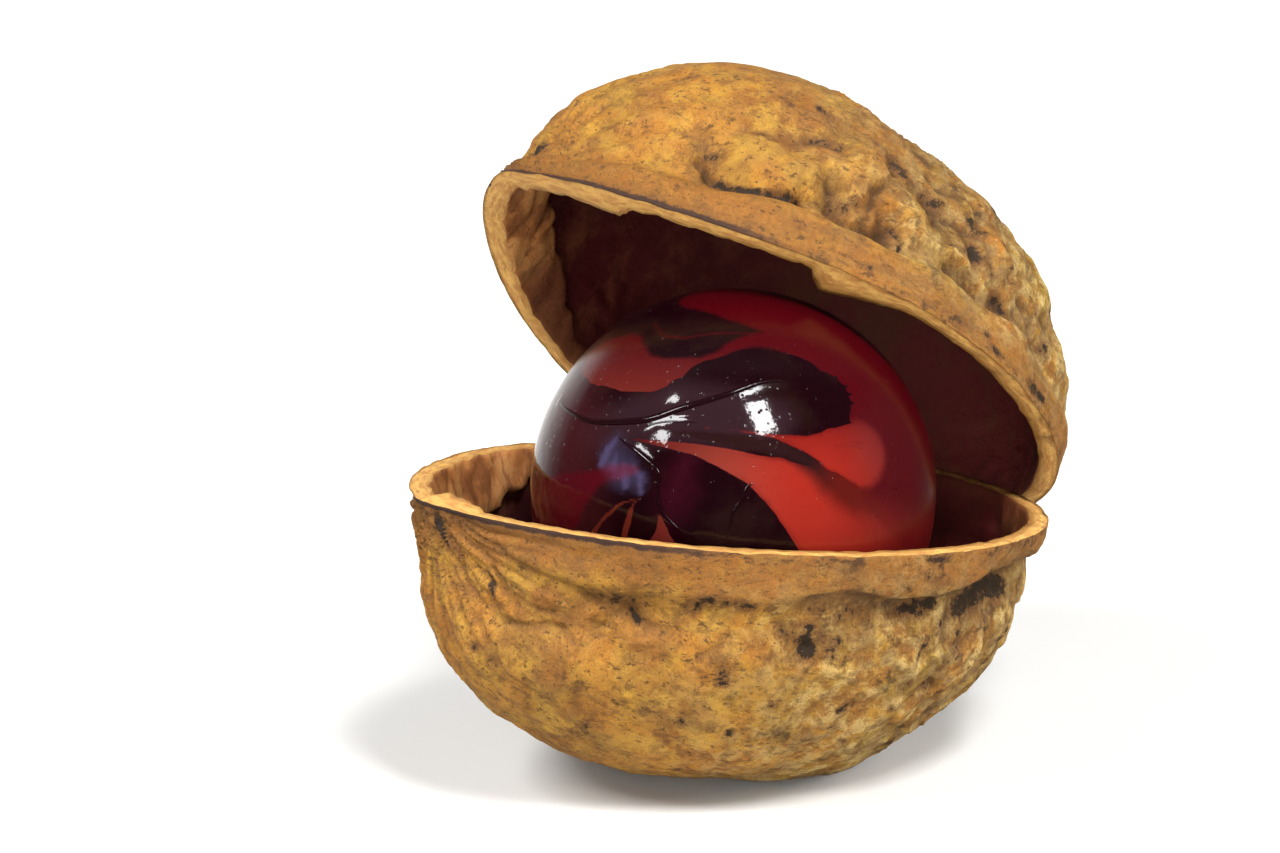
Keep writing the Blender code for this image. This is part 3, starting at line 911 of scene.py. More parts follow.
def shell_mesh(half, name):
    """One whole half shell as a mesh in its place in the frame."""
    bm = half_ball(OUTER_ROWS)
    layer = bm.verts.layers.int.new("ring")
    rim = [edge for edge in bm.edges if edge.is_boundary]
    for number in range(1, len(SHARES) - 1):
        made = bmesh.ops.extrude_edge_only(bm, edges=rim)["geom"]
        rim = [item for item in made if isinstance(item, bmesh.types.BMEdge) and item.is_boundary]
        for item in made:
            if isinstance(item, bmesh.types.BMFace):
                item.material_index = BREAK
            if isinstance(item, bmesh.types.BMVert):
                item[layer] = number

    lining = half_ball(INNER_ROWS)
    bmesh.ops.reverse_faces(lining, faces=lining.faces[:])
    for face in lining.faces:
        face.material_index = LINING
    lining_mesh = mesh_from(lining, "lining")
    skin_and_rings = set(bm.verts)
    bm.from_mesh(lining_mesh)
    bpy.data.meshes.remove(lining_mesh)
    for vert in bm.verts:
        if vert not in skin_and_rings:
            vert[layer] = len(SHARES) - 1
    bridge = [edge for edge in bm.edges if edge.is_boundary]
    for face in bmesh.ops.bridge_loops(bm, edges=bridge)["faces"]:
        face.material_index = BREAK

    directions = np.array([vert.co for vert in bm.verts])
    rings = np.array([vert[layer] for vert in bm.verts])
    moved, places = np.zeros_like(directions), np.zeros_like(directions)
    relief = np.zeros(len(rings))
    for number, share in enumerate(SHARES):
        chosen = rings == number
        moved[chosen], places[chosen], relief[chosen] = shell_surface(half, directions[chosen], share)
    for vert, point in zip(bm.verts, moved.tolist()):
        vert.co = point
    bmesh.ops.transform(bm, matrix=half.to_frame(), verts=bm.verts[:])
    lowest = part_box(half.node)[0].z
    for vert in bm.verts:
        vert.co.z = max(vert.co.z, lowest)
    bmesh.ops.recalc_face_normals(bm, faces=bm.faces[:])

    mesh = mesh_from(bm, name)
    mesh.shade_smooth()
    store(mesh, "nut_place", "FLOAT_VECTOR", "vector", places)
    store(mesh, "relief", "FLOAT", "value", relief)
    store(mesh, "across_rim", "FLOAT", "value", np.array(SHARES)[rings])
    return mesh


def store(mesh, name, kind, key, values):
    """Keeps one value for each point of a mesh under this name."""
    layer = mesh.attributes.new(name, kind, "POINT")
    layer.data.foreach_set(key, np.asarray(values, np.float32).ravel())


def add_piece(mesh):
    """Puts a finished mesh in the scene under its own name, and says how big it is."""
    piece = bpy.data.objects.new(mesh.name, mesh)
    show(piece)
    print(piece.name, "has", sum(len(face.vertices) - 2 for face in mesh.polygons), "triangles")
    return piece


# %% Build both half shells
lower_shell = add_piece(shell_mesh(LOWER, "lower_half_shell"))
upper_shell = add_piece(shell_mesh(UPPER, "upper_half_shell"))

# %% [markdown]
# Marks. Some spots of the shell are known by their place, such as the black apex and the dark
# hollows under the band, whose darkness is partly painted shade. They are painted from a list,
# with a soft edge that the paint later roughens, and everything between them comes from noise.

# %% Marks on the skin
# Marks on the near side: radius, darkness, then one or more points of x and height.
# Those along the lower edge of the band are painted shade in the hollows under it, as well as dark
# blotches.
LOWER.marks = (
    (0.9, 1.0, (-21.2, 0.8)),
    (0.36, 0.9, (-20.4, 0.6), (-20.3, 1.6), (-20.1, 2.4)),
    (0.22, 0.8, (-19.0, 3.3), (-18.5, 4.7)),
    (0.40, 0.7, (-17.9, 7.5)),
    (0.45, 0.5, (-18.5, 8.3)),
    (0.9, 0.55, (-14.3, 3.7), (-13.0, 4.2)),
    (0.22, 0.9, (-12.9, 4.6), (-12.2, 5.3)),
    (0.8, 0.45, (-11.6, 2.9)),
    (0.7, 0.70, (-9.7, 3.7), (-8.9, 3.0)),
    (0.5, 0.60, (-8.0, 3.2), (-6.8, 3.3)),
    (0.35, 0.85, (-6.5, 3.3)),
    (0.6, 0.45, (-5.3, 3.5)),
    (0.45, 0.85, (-7.2, 7.4), (-7.0, 8.0)),
    (0.6, 0.50, (-8.4, 6.7)),
    (0.68, 1.0, (-2.6, 5.6), (-2.2, 6.3)),
    (1.20, 0.45, (-3.2, 5.0), (-2.0, 6.4)),
    (0.36, 0.9, (-2.4, 4.6), (-2.6, 5.6)),
    (0.9, 0.50, (-1.8, 5.4), (-0.6, 6.2)),
    (0.6, 0.50, (-4.6, 4.6), (-3.8, 5.4)),
    (0.25, 0.7, (-2.6, 4.9)),
    (0.6, 0.60, (-0.3, 5.6)),
    (1.0, 0.50, (-2.2, 3.6), (0.2, 3.9)),
    (0.7, 0.80, (4.4, 4.1), (6.4, 3.6)),
    (0.35, 0.5, (3.4, 2.2)),
    (0.25, 0.8, (4.4, 0.35), (5.6, 0.4)),
    (1.0, 0.95, (9.4, 4.3), (10.9, 3.8), (12.8, 3.4), (14.2, 3.8)),
    (0.4, 0.70, (5.8, 6.6), (6.2, 6.0)),
    (0.45, 0.65, (9.3, 5.8)),
    (0.45, 0.55, (9.6, 7.6)),
    (0.5, 0.50, (14.1, 5.4)),
    (0.5, 0.65, (7.1, 8.9)),
    (0.4, 0.60, (5.7, 8.5)),
    (0.5, 0.45, (1.2, 7.9)),
    (0.4, 0.80, (1.0, 9.9), (1.7, 9.5)),
    (0.4, 0.65, (4.8, 9.9)),
    (0.45, 0.6, (-3.6, 9.2)),
    (0.5, 0.50, (1.2, 11.2)),
    (0.35, 0.8, (-5.3, 11.1)),
    (0.35, 0.7, (-6.5, 11.0)),
    (0.5, 0.70, (-8.2, 10.8)),
    (0.6, 0.40, (-10.3, 10.3)),
    (0.7, 0.40, (-11.5, 8.7)),
    (0.5, 0.55, (-13.6, 9.0)),
    (0.4, 0.55, (-14.7, 8.6)),
    (0.8, 0.45, (-12.2, 11.6), (-12.3, 12.7)),
    (0.6, 0.50, (-6.0, 14.7)),
)
# Those along the main crease, low on the near side, are painted shade in it, as well as dark blotches.
UPPER.marks = (
    (0.7, 1.0, (-21.0, 1.0)),
    (0.80, 1.0, (-20.5, 2.6), (-20.3, 3.4)),
    (0.40, 0.70, (-18.7, 7.6)),
    (0.50, 0.50, (-16.8, 10.2)),
    (0.70, 0.50, (-15.4, 9.8), (-14.6, 10.4)),
    (0.25, 0.70, (-17.0, 7.1)),
    (0.50, 0.45, (-15.7, 5.8)),
    (0.50, 0.50, (-11.6, 9.4)),
    (0.60, 0.50, (-11.6, 11.5)),
    (0.50, 0.50, (-8.4, 13.6)),
    (0.40, 0.90, (-10.2, 10.7), (-9.9, 10.4)),
    (0.45, 0.90, (-8.0, 11.1), (-7.6, 10.8)),
    (0.70, 0.60, (-8.4, 8.4), (-7.2, 8.8)),
    (0.50, 0.50, (-11.8, 6.9), (-10.8, 7.1)),
    (1.10, 0.40, (-14.7, 5.0), (-14.0, 4.9)),
    (0.26, 0.85, (-13.6, 3.7), (-12.4, 3.2), (-11.0, 3.3)),
    (0.38, 0.90, (-10.6, 3.4), (-9.0, 3.8)),
    (0.60, 0.60, (-6.4, 4.5), (-5.4, 5.1)),
    (0.80, 0.70, (-3.0, 10.3), (-2.3, 9.5)),
    (0.50, 0.50, (-4.5, 10.7)),
    (0.16, 0.90, (-2.4, 5.3), (-1.7, 4.7), (-1.6, 4.0)),
    (0.60, 0.65, (-0.3, 8.9), (0.8, 9.0)),
    (0.70, 0.85, (3.4, 9.3), (3.9, 8.9)),
    (0.70, 0.80, (3.8, 7.3), (4.2, 6.9)),
    (0.50, 0.60, (1.8, 6.4), (2.8, 6.5)),
    (0.70, 0.85, (6.8, 5.3), (7.4, 5.0)),
    (0.60, 0.60, (6.7, 7.8)),
    (0.80, 0.70, (12.9, 5.7)),
    (0.35, 0.90, (5.4, 1.3)),
    (0.30, 0.80, (6.2, 0.8), (7.0, 0.6)),
    (0.40, 0.60, (1.8, 0.8)),
    (0.40, 0.75, (-4.0, 0.8)),
    (0.45, 0.80, (10.0, 0.8), (12.0, 0.9)),
)


def add_marks(shell, half):
    """Stores how dark the named marks make each point of a shell."""
    places = np.zeros(len(shell.data.vertices) * 3, np.float32)
    shell.data.attributes["nut_place"].data.foreach_get("vector", places)
    places = places.reshape(-1, 3)
    dark = np.zeros(len(places))
    for radius, darkness, *stops in half.marks:
        path = [on_side(half, *stop) for stop in stops]
        away = distance_to_path(places, path if len(path) > 1 else path * 2)
        dark = np.maximum(dark, darkness * bell(away, radius))
    store(shell.data, "mark", "FLOAT", "value", dark)


add_marks(lower_shell, LOWER)
add_marks(upper_shell, UPPER)
print("marks:", len(LOWER.marks), "and", len(UPPER.marks))

# %% [markdown]
# The marble is dark glass with red glass trailed over it while it was hot. Each trail is a
# stroke: a path on the ball with a width at every stop. Paths are given as seen from the front,
# by degrees to the right and degrees up, and go on round the back. For each point of the ball
# the distance to the nearest edge of a stroke is stored, and the paint turns it into a line.

# %% Strokes of glass
# Stops of a stroke: degrees to the right, degrees up, half its width in mm.
SWEEP = (
    (-50, 78, 0.4), (-15, 73, 2.4), (12, 66, 2.6), (32, 58, 3.0), (47, 45, 3.4), (56, 28, 4.3),
    (62, 8, 5.2), (64, -12, 5.4), (80, -38, 4.2), (120, -50, 3.0), (165, -40, 1.4),
)
LEFT_LEAF = (
    (-68, 42, 0.7), (-60, 41.5, 1.6), (-50, 40.5, 2.05), (-37, 35.5, 1.42), (-28, 34.5, 1.20),
    (-20, 36, 0.92), (-12, 38, 0.55), (-5, 41.8, 0.28), (-2, 44.2, 0.38), (5, 46.7, 0.50),
    (14, 47.5, 0.75), (24, 45.2, 1.00), (33, 41, 1.60),
)
TONGUE = (
    (-9, 18.2, 0.02), (2, 17.2, 0.05), (10, 16.0, 0.10), (20, 13.6, 0.50), (29, 12.0, 1.35),
    (37, 11.0, 2.00),
)
UNDER_FINGER = ((30, 3, 0.3), (36, -1, 1.5), (48, -6, 2.8))
BACK_BAND = ((150, 34, 1.6), (175, 14, 2.8), (-160, -8, 2.2), (-130, -24, 1.0))
LOBE = ((-16, 27, 1.5), (-6, 29.3, 2.35), (6, 30, 2.95), (17, 28.8, 2.85), (27.5, 27, 2.0))
LOBE_SPIKES = (
    ((31, 31, 0.5), (36.3, 34.2, 0.02)),
    ((32, 29.5, 0.5), (39.2, 31, 0.02)),
    ((32, 28, 0.5), (39.3, 28.4, 0.02)),
    ((32, 26.5, 0.5), (39.2, 25.4, 0.03)),
)
FINGER = (
    (-24, 17.4, 0.03), (-8, 15.8, 0.26), (1, 14.3, 0.42), (9.5, 13.0, 0.48), (14, 12.0, 0.50),
    (18, 9.9, 0.52), (22.4, 7.3, 0.64), (26.8, 3.8, 0.90), (31, 0.9, 1.00), (36, -2.0, 0.90),
    (41.5, -4.6, 0.60),
)
LOWER_RED = (
    (-31, 15.0, 0.03), (-20, 13.5, 0.21), (-11, 12.0, 0.35), (-3, 9.5, 0.63), (4, 6.9, 0.88),
    (11, 3.6, 1.40), (19, -1.6, 2.00), (29, -11, 2.50), (44, -22, 2.80), (60, -30, 3.00),
)
LOWER_SPOT = ((-21.5, -16, 1.2), (-21, -10.5, 0.40), (-21.5, -5.5, 0.03))
SPLINTERS = (
    ((-34, -14, 0.24), (-31, -7, 0.17), (-29.5, -3, 0.11), (-27, -1, 0.04)),
    ((-44, -11, 0.14), (-39, -6.5, 0.12), (-33, -2.5, 0.06)),
    ((-29, -1.4, 0.08), (-35, -3.5, 0.06)),
)
LEFT_WINE = (
    (-95, -10, 2.6), (-72, -6.5, 2.1), (-56, -3, 1.8), (-48, 1.2, 1.0), (-42, 4.4, 0.55),
    (-34, 6.0, 0.40), (-29, 6.6, 0.15),
)
MIDDLE_WINE = ((-14, 9, 0.3), (-16, 3, 0.8), (-18, -4, 0.7))
# The painted reflection of a blue window with slats at the left of the ball, and its streaks.
WINDOW_REFLECTION = ((-36.5, 14, 0.30), (-37, 10.5, 0.80), (-33, 6.5, 1.00), (-29, 4, 0.60))
REFLECTED_STREAKS = (
    ((-36.5, 15, 0.05), (-39, 11, 0.26), (-40.5, 8, 0.16)),
    ((-35.5, 11, 0.05), (-36, 8, 0.24), (-35.5, 5, 0.10)),
    ((-33, 8, 0.06), (-32.5, 5, 0.28), (-32, 2.2, 0.14)),
    ((-29, 7, 0.05), (-27.5, 4.5, 0.22), (-27, 0.5, 0.10)),
)
# Where the painted purple sheen lies, round the two window highlights.
PURPLE = ((-58, 14, 1.0), (-36, 19, 1.2), (-20, 23, 1.6), (-2, 21, 1.6), (12, 21, 0.8))
CAP_LINE = (
    (-43, 55, 0.03), (-32, 49, 0.07), (-21, 48, 0.09), (-8, 50, 0.07), (2, 50, 0.06),
    (20, 49, 0.03),
)
# Raised threads: thickness in mm, then stops of degrees to the right and up.
THREADS = (
    (0.24, (-71, 26), (-56, 22), (-46, 20), (-33, 20), (-25, 21), (-16, 24), (-3, 28), (9, 32), (21, 32)),
    (0.11, (-28, 17), (-24, 19.4), (-17, 20), (-6, 19)),
    (0.17, (-36, 16), (-33, 14), (-28, 11), (-22, 6), (-22, 1), (-21, -4), (-18, -8), (-12, -13)),
    (0.16, (5, 3), (3, 2), (1, -2), (-1, -5), (-2, -9), (-3, -13)),
)


def on_marble(right, up):
    """The place on the ball, from its middle, at these degrees from the camera's direction."""
    return np.array(seen_at(right, up)) * MARBLE_RADIUS


def outside(points, *strokes):
    """How far each point lies outside the nearest stroke; negative inside one."""
    nearest = np.full(len(points), np.inf)
    for stroke in strokes:
        for (*start, thin), (*end, thick) in zip(stroke[:-1], stroke[1:]):
            a, b = on_marble(*start), on_marble(*end)
            along = b - a
            share = np.clip((points - a) @ along / (along @ along), 0, 1)
            away = np.linalg.norm(points - a - share[:, None] * along, axis=1)
            nearest = np.minimum(nearest, away - thin - (thick - thin) * share)
    return nearest

# %% [markdown]
# Where trails met, the melt folded and a thread of glass stayed proud of the ball. A thread is a
# round bar that runs along a soft curve through its stops, thin at both ends and a little sunk.
# The ball swells slightly towards it, as glass does that was drawn together.

# %% Threads of glass
THREAD_SUNK = 0.08
THREAD_STEPS = 8


def thread_path(stops):
    """Points of a soft curve on the ball through these stops."""
    stops = [np.array(stop, float) for stop in (stops[0], *stops, stops[-1])]
    path = []
    for before, start, end, after in zip(stops, stops[1:], stops[2:], stops[3:]):
        for share in np.linspace(0, 1, THREAD_STEPS, endpoint=False):
            bend = 2 * before - 5 * start + 4 * end - after
            twist = -before + 3 * start - 3 * end + after
            place = start + share * (end - before + share * (bend + share * twist)) / 2
            path.append(on_marble(*place))
    return path + [on_marble(*stops[-1])]


def add_thread(bm, path, thickness):
    """Adds a round thread of glass along a path, thin at both ends."""
    curve = bpy.data.curves.new("thread", "CURVE")
    curve.dimensions = "3D"
    curve.bevel_depth = thickness
    curve.bevel_resolution = 2
    curve.use_fill_caps = True
    spline = curve.splines.new("POLY")
    spline.points.add(len(path) - 1)
    for number, (point, place) in enumerate(zip(spline.points, path)):
        point.co = (*(place * (1 - THREAD_SUNK / MARBLE_RADIUS)), 1)
        point.radius = 0.15 + 0.85 * math.sin(math.pi * number / (len(path) - 1)) ** 0.5
    holder = bpy.data.objects.new("thread", curve)
    mesh = bpy.data.meshes.new_from_object(holder)
    bm.from_mesh(mesh)
    bpy.data.objects.remove(holder)
    bpy.data.curves.remove(curve)
    bpy.data.meshes.remove(mesh)


# %% Build the marble
MARBLE_ROWS = 124
RIDGE_WIDTH = 0.38
RIDGE_HEIGHT = 0.045

bm = cube_ball(MARBLE_ROWS)
bmesh.ops.scale(bm, vec=(MARBLE_RADIUS,) * 3, verts=bm.verts[:])
on_ball = len(bm.verts)
thread_paths = [thread_path(stops) for _, *stops in THREADS]
for path, (thickness, *_) in zip(thread_paths, THREADS):
    add_thread(bm, path, thickness)
bmesh.ops.recalc_face_normals(bm, faces=bm.faces[:])
ball = np.array([vert.co for vert in bm.verts])
flow = np.min([distance_to_path(ball, path) for path in thread_paths], axis=0)
edges = {
    "leaf_edge": outside(ball, SWEEP, LEFT_LEAF, UNDER_FINGER, BACK_BAND),
    "eye_edge": outside(ball, LOBE, *LOBE_SPIKES),
    "bright_edge": outside(ball, LOWER_RED, LOWER_SPOT),
    "tongue_edge": outside(ball, TONGUE),
    "splinter_edge": outside(ball, *SPLINTERS),
    "finger_edge": outside(ball, FINGER),
    "left_wine_edge": outside(ball, LEFT_WINE),
    "middle_wine_edge": outside(ball, MIDDLE_WINE),
    "blue_reflection_edge": outside(ball, WINDOW_REFLECTION),
    "streak_edge": outside(ball, *REFLECTED_STREAKS),
    "cap_line_edge": outside(ball, CAP_LINE),
    "purple_edge": outside(ball, PURPLE),
    "to_the_right": ball @ np.array(to_right),
    "to_the_top": ball @ np.array(to_top),
    "thread": np.arange(len(ball)) >= on_ball,
}
ridge = 1 - RIDGE_HEIGHT / MARBLE_RADIUS * (1 - bell(flow, RIDGE_WIDTH))
for vert, point in zip(bm.verts, (ball * ridge[:, None] * MM).tolist()):
    vert.co = MARBLE_CENTRE + Vector(point)
marble_mesh = mesh_from(bm, "glass_ball")
marble_mesh.shade_smooth()
store(marble_mesh, "marble_place", "FLOAT_VECTOR", "vector", ball)
for name, values in edges.items():
    store(marble_mesh, name, "FLOAT", "value", values)
marble_piece = add_piece(marble_mesh)

# %% [markdown]
# The skin of a walnut shell is never one colour. Golden ochre is the ground; orange-brown clouds
# and patches of bright yellow lie over it, and every crease and hollow is painted brown as painted
# shade. Threads of the old husk leave short dark flecks, and towards the blunt end soot-grey
# blotches and a pale bloom cover more and more of it.

# %% The skin
GOLD = (0.350, 0.141, 0.0140)
YELLOW = (0.430, 0.226, 0.0225)
AMBER = (0.230, 0.086, 0.0110)
OLIVE = (0.290, 0.185, 0.0240)
TAN = (0.49, 0.345, 0.118)
UMBER = (0.128, 0.053, 0.0120)
BROWN = (0.060, 0.025, 0.0075)
SOOT = (0.0135, 0.0100, 0.0060)
PLUM = (0.026, 0.012, 0.010)


def skin_paint():
    paint = Paint("walnut_skin", Specular_IOR_Level=0.3)
    place = paint.attribute("nut_place", "Vector")
    relief = paint.attribute("relief")
    mark = paint.attribute("mark")
    along = paint.part(place, "X")
    height = paint.part(place, "Z")
    blunt = along.step(-12.0, 8.0)
    bent = paint.warped(place, 0.5, 0.8)

    clouds = paint.noise(place, 0.17, 3.0, 0.5)
    patches = paint.noise(bent, 0.42, 6.0, 0.6)
    mottle = paint.noise(bent, 1.2, 7.0, 0.68)
    stains = paint.noise(bent, 0.40, 9.0, 0.68)
    blotches = paint.noise(bent, 0.62, 9.0, 0.72)
    speckle = paint.noise(place, 7.0, 3.0, 0.7) - 0.5
    dashes = paint.noise(paint.stretched(bent, (0.5, 1.5, 1.5)), 2.2, 4.0, 0.7)
    rags = paint.noise(bent, 1.7, 7.0, 0.75) - 0.5
    ridge = abs(paint.noise(bent, 0.55, 6.0, 0.62) - 0.5)

    # The ground: gold with clouds of amber, yellow and olive, then bloom and pale cracks.
    paint.colour = paint.mix(clouds.step(0.40, 0.60) * (1 - 0.45 * blunt), GOLD, AMBER)
    paint.lay(patches.step(0.42, 0.66) * 0.85, YELLOW)
    olive = paint.noise(bent, 0.24, 5.0, 0.6).step(0.42, 0.64)
    paint.lay(olive * (0.15 + 0.8 * blunt), OLIVE)
    bloom = paint.noise(bent, 0.8, 4.0, 0.55)
    pale = (bloom + mottle * 0.35 + patches * 0.35).step(0.76, 0.96) * (0.06 + 0.90 * blunt)
    paint.lay(pale, TAN)
    paint.lay(ridge.step(0.020, 0.004) * (0.08 + 0.34 * blunt), TAN)
    # The band is smoother, browner and streaked along the rim.
    on_band = height.step(3.6, 1.6)
    bands = paint.noise(paint.stretched(bent, (0.3, 0.9, 1.6)), 1.0, 6.0, 0.65)
    paint.lay(on_band * (0.58 + 0.4 * mottle.step(0.42, 0.6)), AMBER)
    paint.lay(on_band * bands.step(0.50, 0.60) * 0.45, UMBER)
    paint.lay(mottle.step(0.50, 0.38) * 0.42, UMBER)

    # Stains, and painted shade that darkens what is deep.
    stained = (stains + speckle * 0.16).step(0.50, 0.62) * (0.45 + 0.40 * blunt)
    paint.lay(stained * 0.7, UMBER)
    # Painted shade: the deeper a point lies, the browner and darker it is painted.
    low = relief + (mottle - 0.5) * 0.6 + rags * 0.5 + speckle * 0.3
    paint.lay(low.step(-0.08, -0.34) * 0.50, UMBER)
    paint.lay(low.step(-0.36, -0.72) * 0.75, BROWN)
    paint.lay(low.step(-0.70, -1.05) * 0.6, SOOT)

    # Soot blotches, flecks of husk, and the marks whose places are known.
    spotted = blotches + speckle * 0.22 + rags * 0.15
    zone = clouds.step(0.68, 0.44) * (0.25 + 0.90 * blunt)
    paint.lay(spotted.step(0.515, 0.580) * zone * 0.55, UMBER)
    paint.lay(spotted.step(0.580, 0.628) * zone * 0.8, SOOT)
    fleck = (dashes + speckle * 0.1).step(0.575, 0.63) * (0.8 - 0.4 * blunt)
    paint.lay(fleck, BROWN)
    # The marks: dark blotches, and painted shade under the band and in the main crease.
    ragged = mark + rags * 2.6 * mark.step(0.04, 0.30) + speckle * 0.5
    paint.lay(ragged.step(0.22, 0.42) * mark.step(0.03, 0.15) * 0.75, UMBER)
    paint.lay(ragged.step(0.55, 0.70) * mark.step(0.08, 0.22) * 0.93, SOOT)

    # The dark edge of the skin, along the rim near the tip.
    near_tip = along.step(-6.0, -13.0)
    edge = height + (mottle - 0.5) * 0.5 + speckle * 0.25
    specks = (dashes + (blotches - 0.5)).step(0.53, 0.62) * edge.step(0.9, 0.2)
    line = edge.step(0.42, 0.26) * near_tip
    paint.lay(specks * 0.7, BROWN)
    paint.lay(edge.step(1.1, 0.5) * near_tip * 0.35, UMBER)
    paint.lay(line * 0.92, PLUM)
    paint.lay(speckle.step(0.08, -0.16) * 0.30, BROWN)
    return paint.finish(0.6 + 0.25 * patches, mottle + speckle + rags, 0.12)


# %% [markdown]
# Where the shell broke, fresh wood shows: bright yellow ochre, in fine layers that run along the
# rim, a little browner towards the inside, with a dark line where the skin ends.

# %% The broken rim
FRESH = (0.67, 0.385, 0.100)
FRESH_DEEP = (0.47, 0.210, 0.054)


def break_paint():
    paint = Paint("broken_shell", Specular_IOR_Level=0.3)
    place = paint.attribute("nut_place", "Vector")
    across = paint.attribute("across_rim")
    relief = paint.attribute("relief")
    along = paint.part(place, "X")
    bent = paint.warped(place, 1.2, 0.5)
    flat = {"X": paint.part(bent, "X") * 0.35, "Y": paint.part(bent, "Y") * 0.35, "Z": across * 2.4}
    layers = paint.noise(paint.node("ShaderNodeCombineXYZ", {}, flat), 2.2, 5.0, 0.65)
    fibres = paint.noise(bent, 2.6, 6.0, 0.72)
    soft = paint.noise(bent, 0.6, 4.0, 0.6)
    paint.colour = paint.mix(layers.step(0.38, 0.58), FRESH_DEEP, FRESH)
    paint.lay(fibres.step(0.55, 0.40) * 0.4, FRESH_DEEP)
    paint.lay(soft.step(0.50, 0.66) * (0.1 + 0.5 * along.step(2.0, 14.0)), UMBER)
    # Painted shade: the low steps of the broken layers are painted darker.
    paint.lay(relief.step(-0.03, -0.14) * 0.5, UMBER)
    paint.lay(across.step(0.40, 0.95) * (0.25 + 0.4 * along.step(-16.0, -6.0)), AMBER)
    edge = (across + (fibres - 0.5) * 0.25).step(0.14, 0.02)
    paint.lay(edge * 0.5, BROWN)
    return paint.finish(0.62 + 0.2 * fibres, fibres + layers, 0.16)


# %% [markdown]
# The lining is a thin brown skin that once lay against the kernel. It is painted dark in the deep
# of the dome, as painted shade, and maroon there as painted red light from the glass; it is light
# brown on the thick ledge by the tip, which ends at a torn edge.

# %% The lining
LINING_DARK = (0.046, 0.0055, 0.0060)
LINING_WINE = (0.105, 0.0125, 0.0115)
LINING_MID = (0.092, 0.0260, 0.0110)
LINING_LIGHT = (0.42, 0.158, 0.042)
LINING_PALE = (0.54, 0.265, 0.082)


def lining_paint():
    paint = Paint("walnut_lining", Specular_IOR_Level=0.3)
    place = paint.attribute("nut_place", "Vector")
    thick = paint.attribute("relief")
    along = paint.part(place, "X")
    height = paint.part(place, "Z")
    bent = paint.warped(place, 0.6, 1.0)
    soft = paint.noise(bent, 0.30, 5.0, 0.6)
    veins = paint.noise(paint.stretched(bent, (1.6, 0.8, 0.8)), 0.7, 6.0, 0.68)
    fine = paint.noise(bent, 2.2, 5.0, 0.7)
    cloud = soft + (fine - 0.5) * 0.3
    # Painted shade and painted red light: dark in the deep, and wine red towards the blunt end, under the
    # marble.
    paint.colour = paint.mix(along.step(-2.0, 12.0), LINING_DARK, LINING_WINE)
    paint.lay(cloud.step(0.44, 0.68) * 0.8, LINING_MID)
    # Painted light: the lining is painted lighter along the rim, farther in on the +y side at the blunt
    # end, and painted shade takes most of that away on the -y side there.
    side = paint.part(place, "Y")
    reach = 1.3 + 2.4 * along.step(9.0, 15.0) * side.step(0.0, 4.0)
    rim = (1 - (height + (veins - 0.5) * 1.5) / reach).step(0.0, 0.7)
    shaded = 1 - 0.85 * along.step(4.0, 11.0) * side.step(4.0, 0.0)
    paint.lay(rim * (0.40 + 0.4 * along.step(8.0, -12.0)) * shaded, LINING_LIGHT)
    paint.lay(veins.step(0.54, 0.68) * 0.5, LINING_MID)
    ledge_colour = paint.mix(cloud.step(0.46, 0.60) * 0.7, LINING_LIGHT, LINING_PALE)
    ledge_colour = paint.mix(soft.step(0.50, 0.38) * 0.5, ledge_colour, LINING_MID)
    # Painted shade: the ledge is painted browner away from the tip.
    browner = along.step(-15.5, -10.5) * (0.30 + 0.66 * side.step(-3.0, 3.0))
    ledge_colour = paint.mix(browner, ledge_colour, LINING_MID)
    lines = paint.noise(paint.stretched(bent, (2.0, 0.5, 0.5)), 0.8, 3.0, 0.5)
    ledge_colour = paint.mix(lines.step(0.56, 0.66) * 0.5, ledge_colour, LINING_MID)
    paint.lay(thick * 0.95, ledge_colour)
    return paint.finish(0.5 + 0.3 * soft, veins + fine, 0.10)


# %% [markdown]
# Glass. The two glasses are both opaque, so the colour lies at the surface and the gloss comes
# from a low roughness. A hair of noise on the stored distances keeps the edges of the red from
# looking drawn. The dark glass comes first, with its wine clouds, a painted purple sheen round
# the two window highlights, and a painted reflection of a blue window at the left. The red leaf
# goes over it, then the dark eye, the bright red below, the dark finger, the tongue, the threads
# and a little dust. The red is painted bright in its bright trails, and darker towards the top
# and the right as painted shade.

# %% The glass
NIGHT = (0.0048, 0.0003, 0.0012)
OIL = (0.0100, 0.0032, 0.0024)
PURPLE_SHEEN = (0.0155, 0.0060, 0.0082)
WINE = (0.021, 0.0013, 0.0045)
LIT_WINE = (0.042, 0.0012, 0.0036)
LEFT_NIGHT = (0.026, 0.0035, 0.0045)
RED = (0.176, 0.0108, 0.0061)
RED_PALE = (0.172, 0.0290, 0.0180)
# The red in painted shade; it also colours the thin line in the dark cap and streaks in the red.
RED_DEEP = (0.036, 0.0004, 0.0017)
RED_BROWN = (0.054, 0.0040, 0.0026)
FINGER_DARK = (0.0115, 0.0034, 0.0034)
# The colours of the painted reflection of a blue window.
REFLECTED_BLUE = (0.021, 0.016, 0.034)
REFLECTED_LAVENDER = (0.042, 0.031, 0.072)
REFLECTED_ROSE = (0.085, 0.014, 0.034)
SPLINTER_RED = (0.075, 0.0095, 0.0048)
DUST = (0.30, 0.27, 0.25)


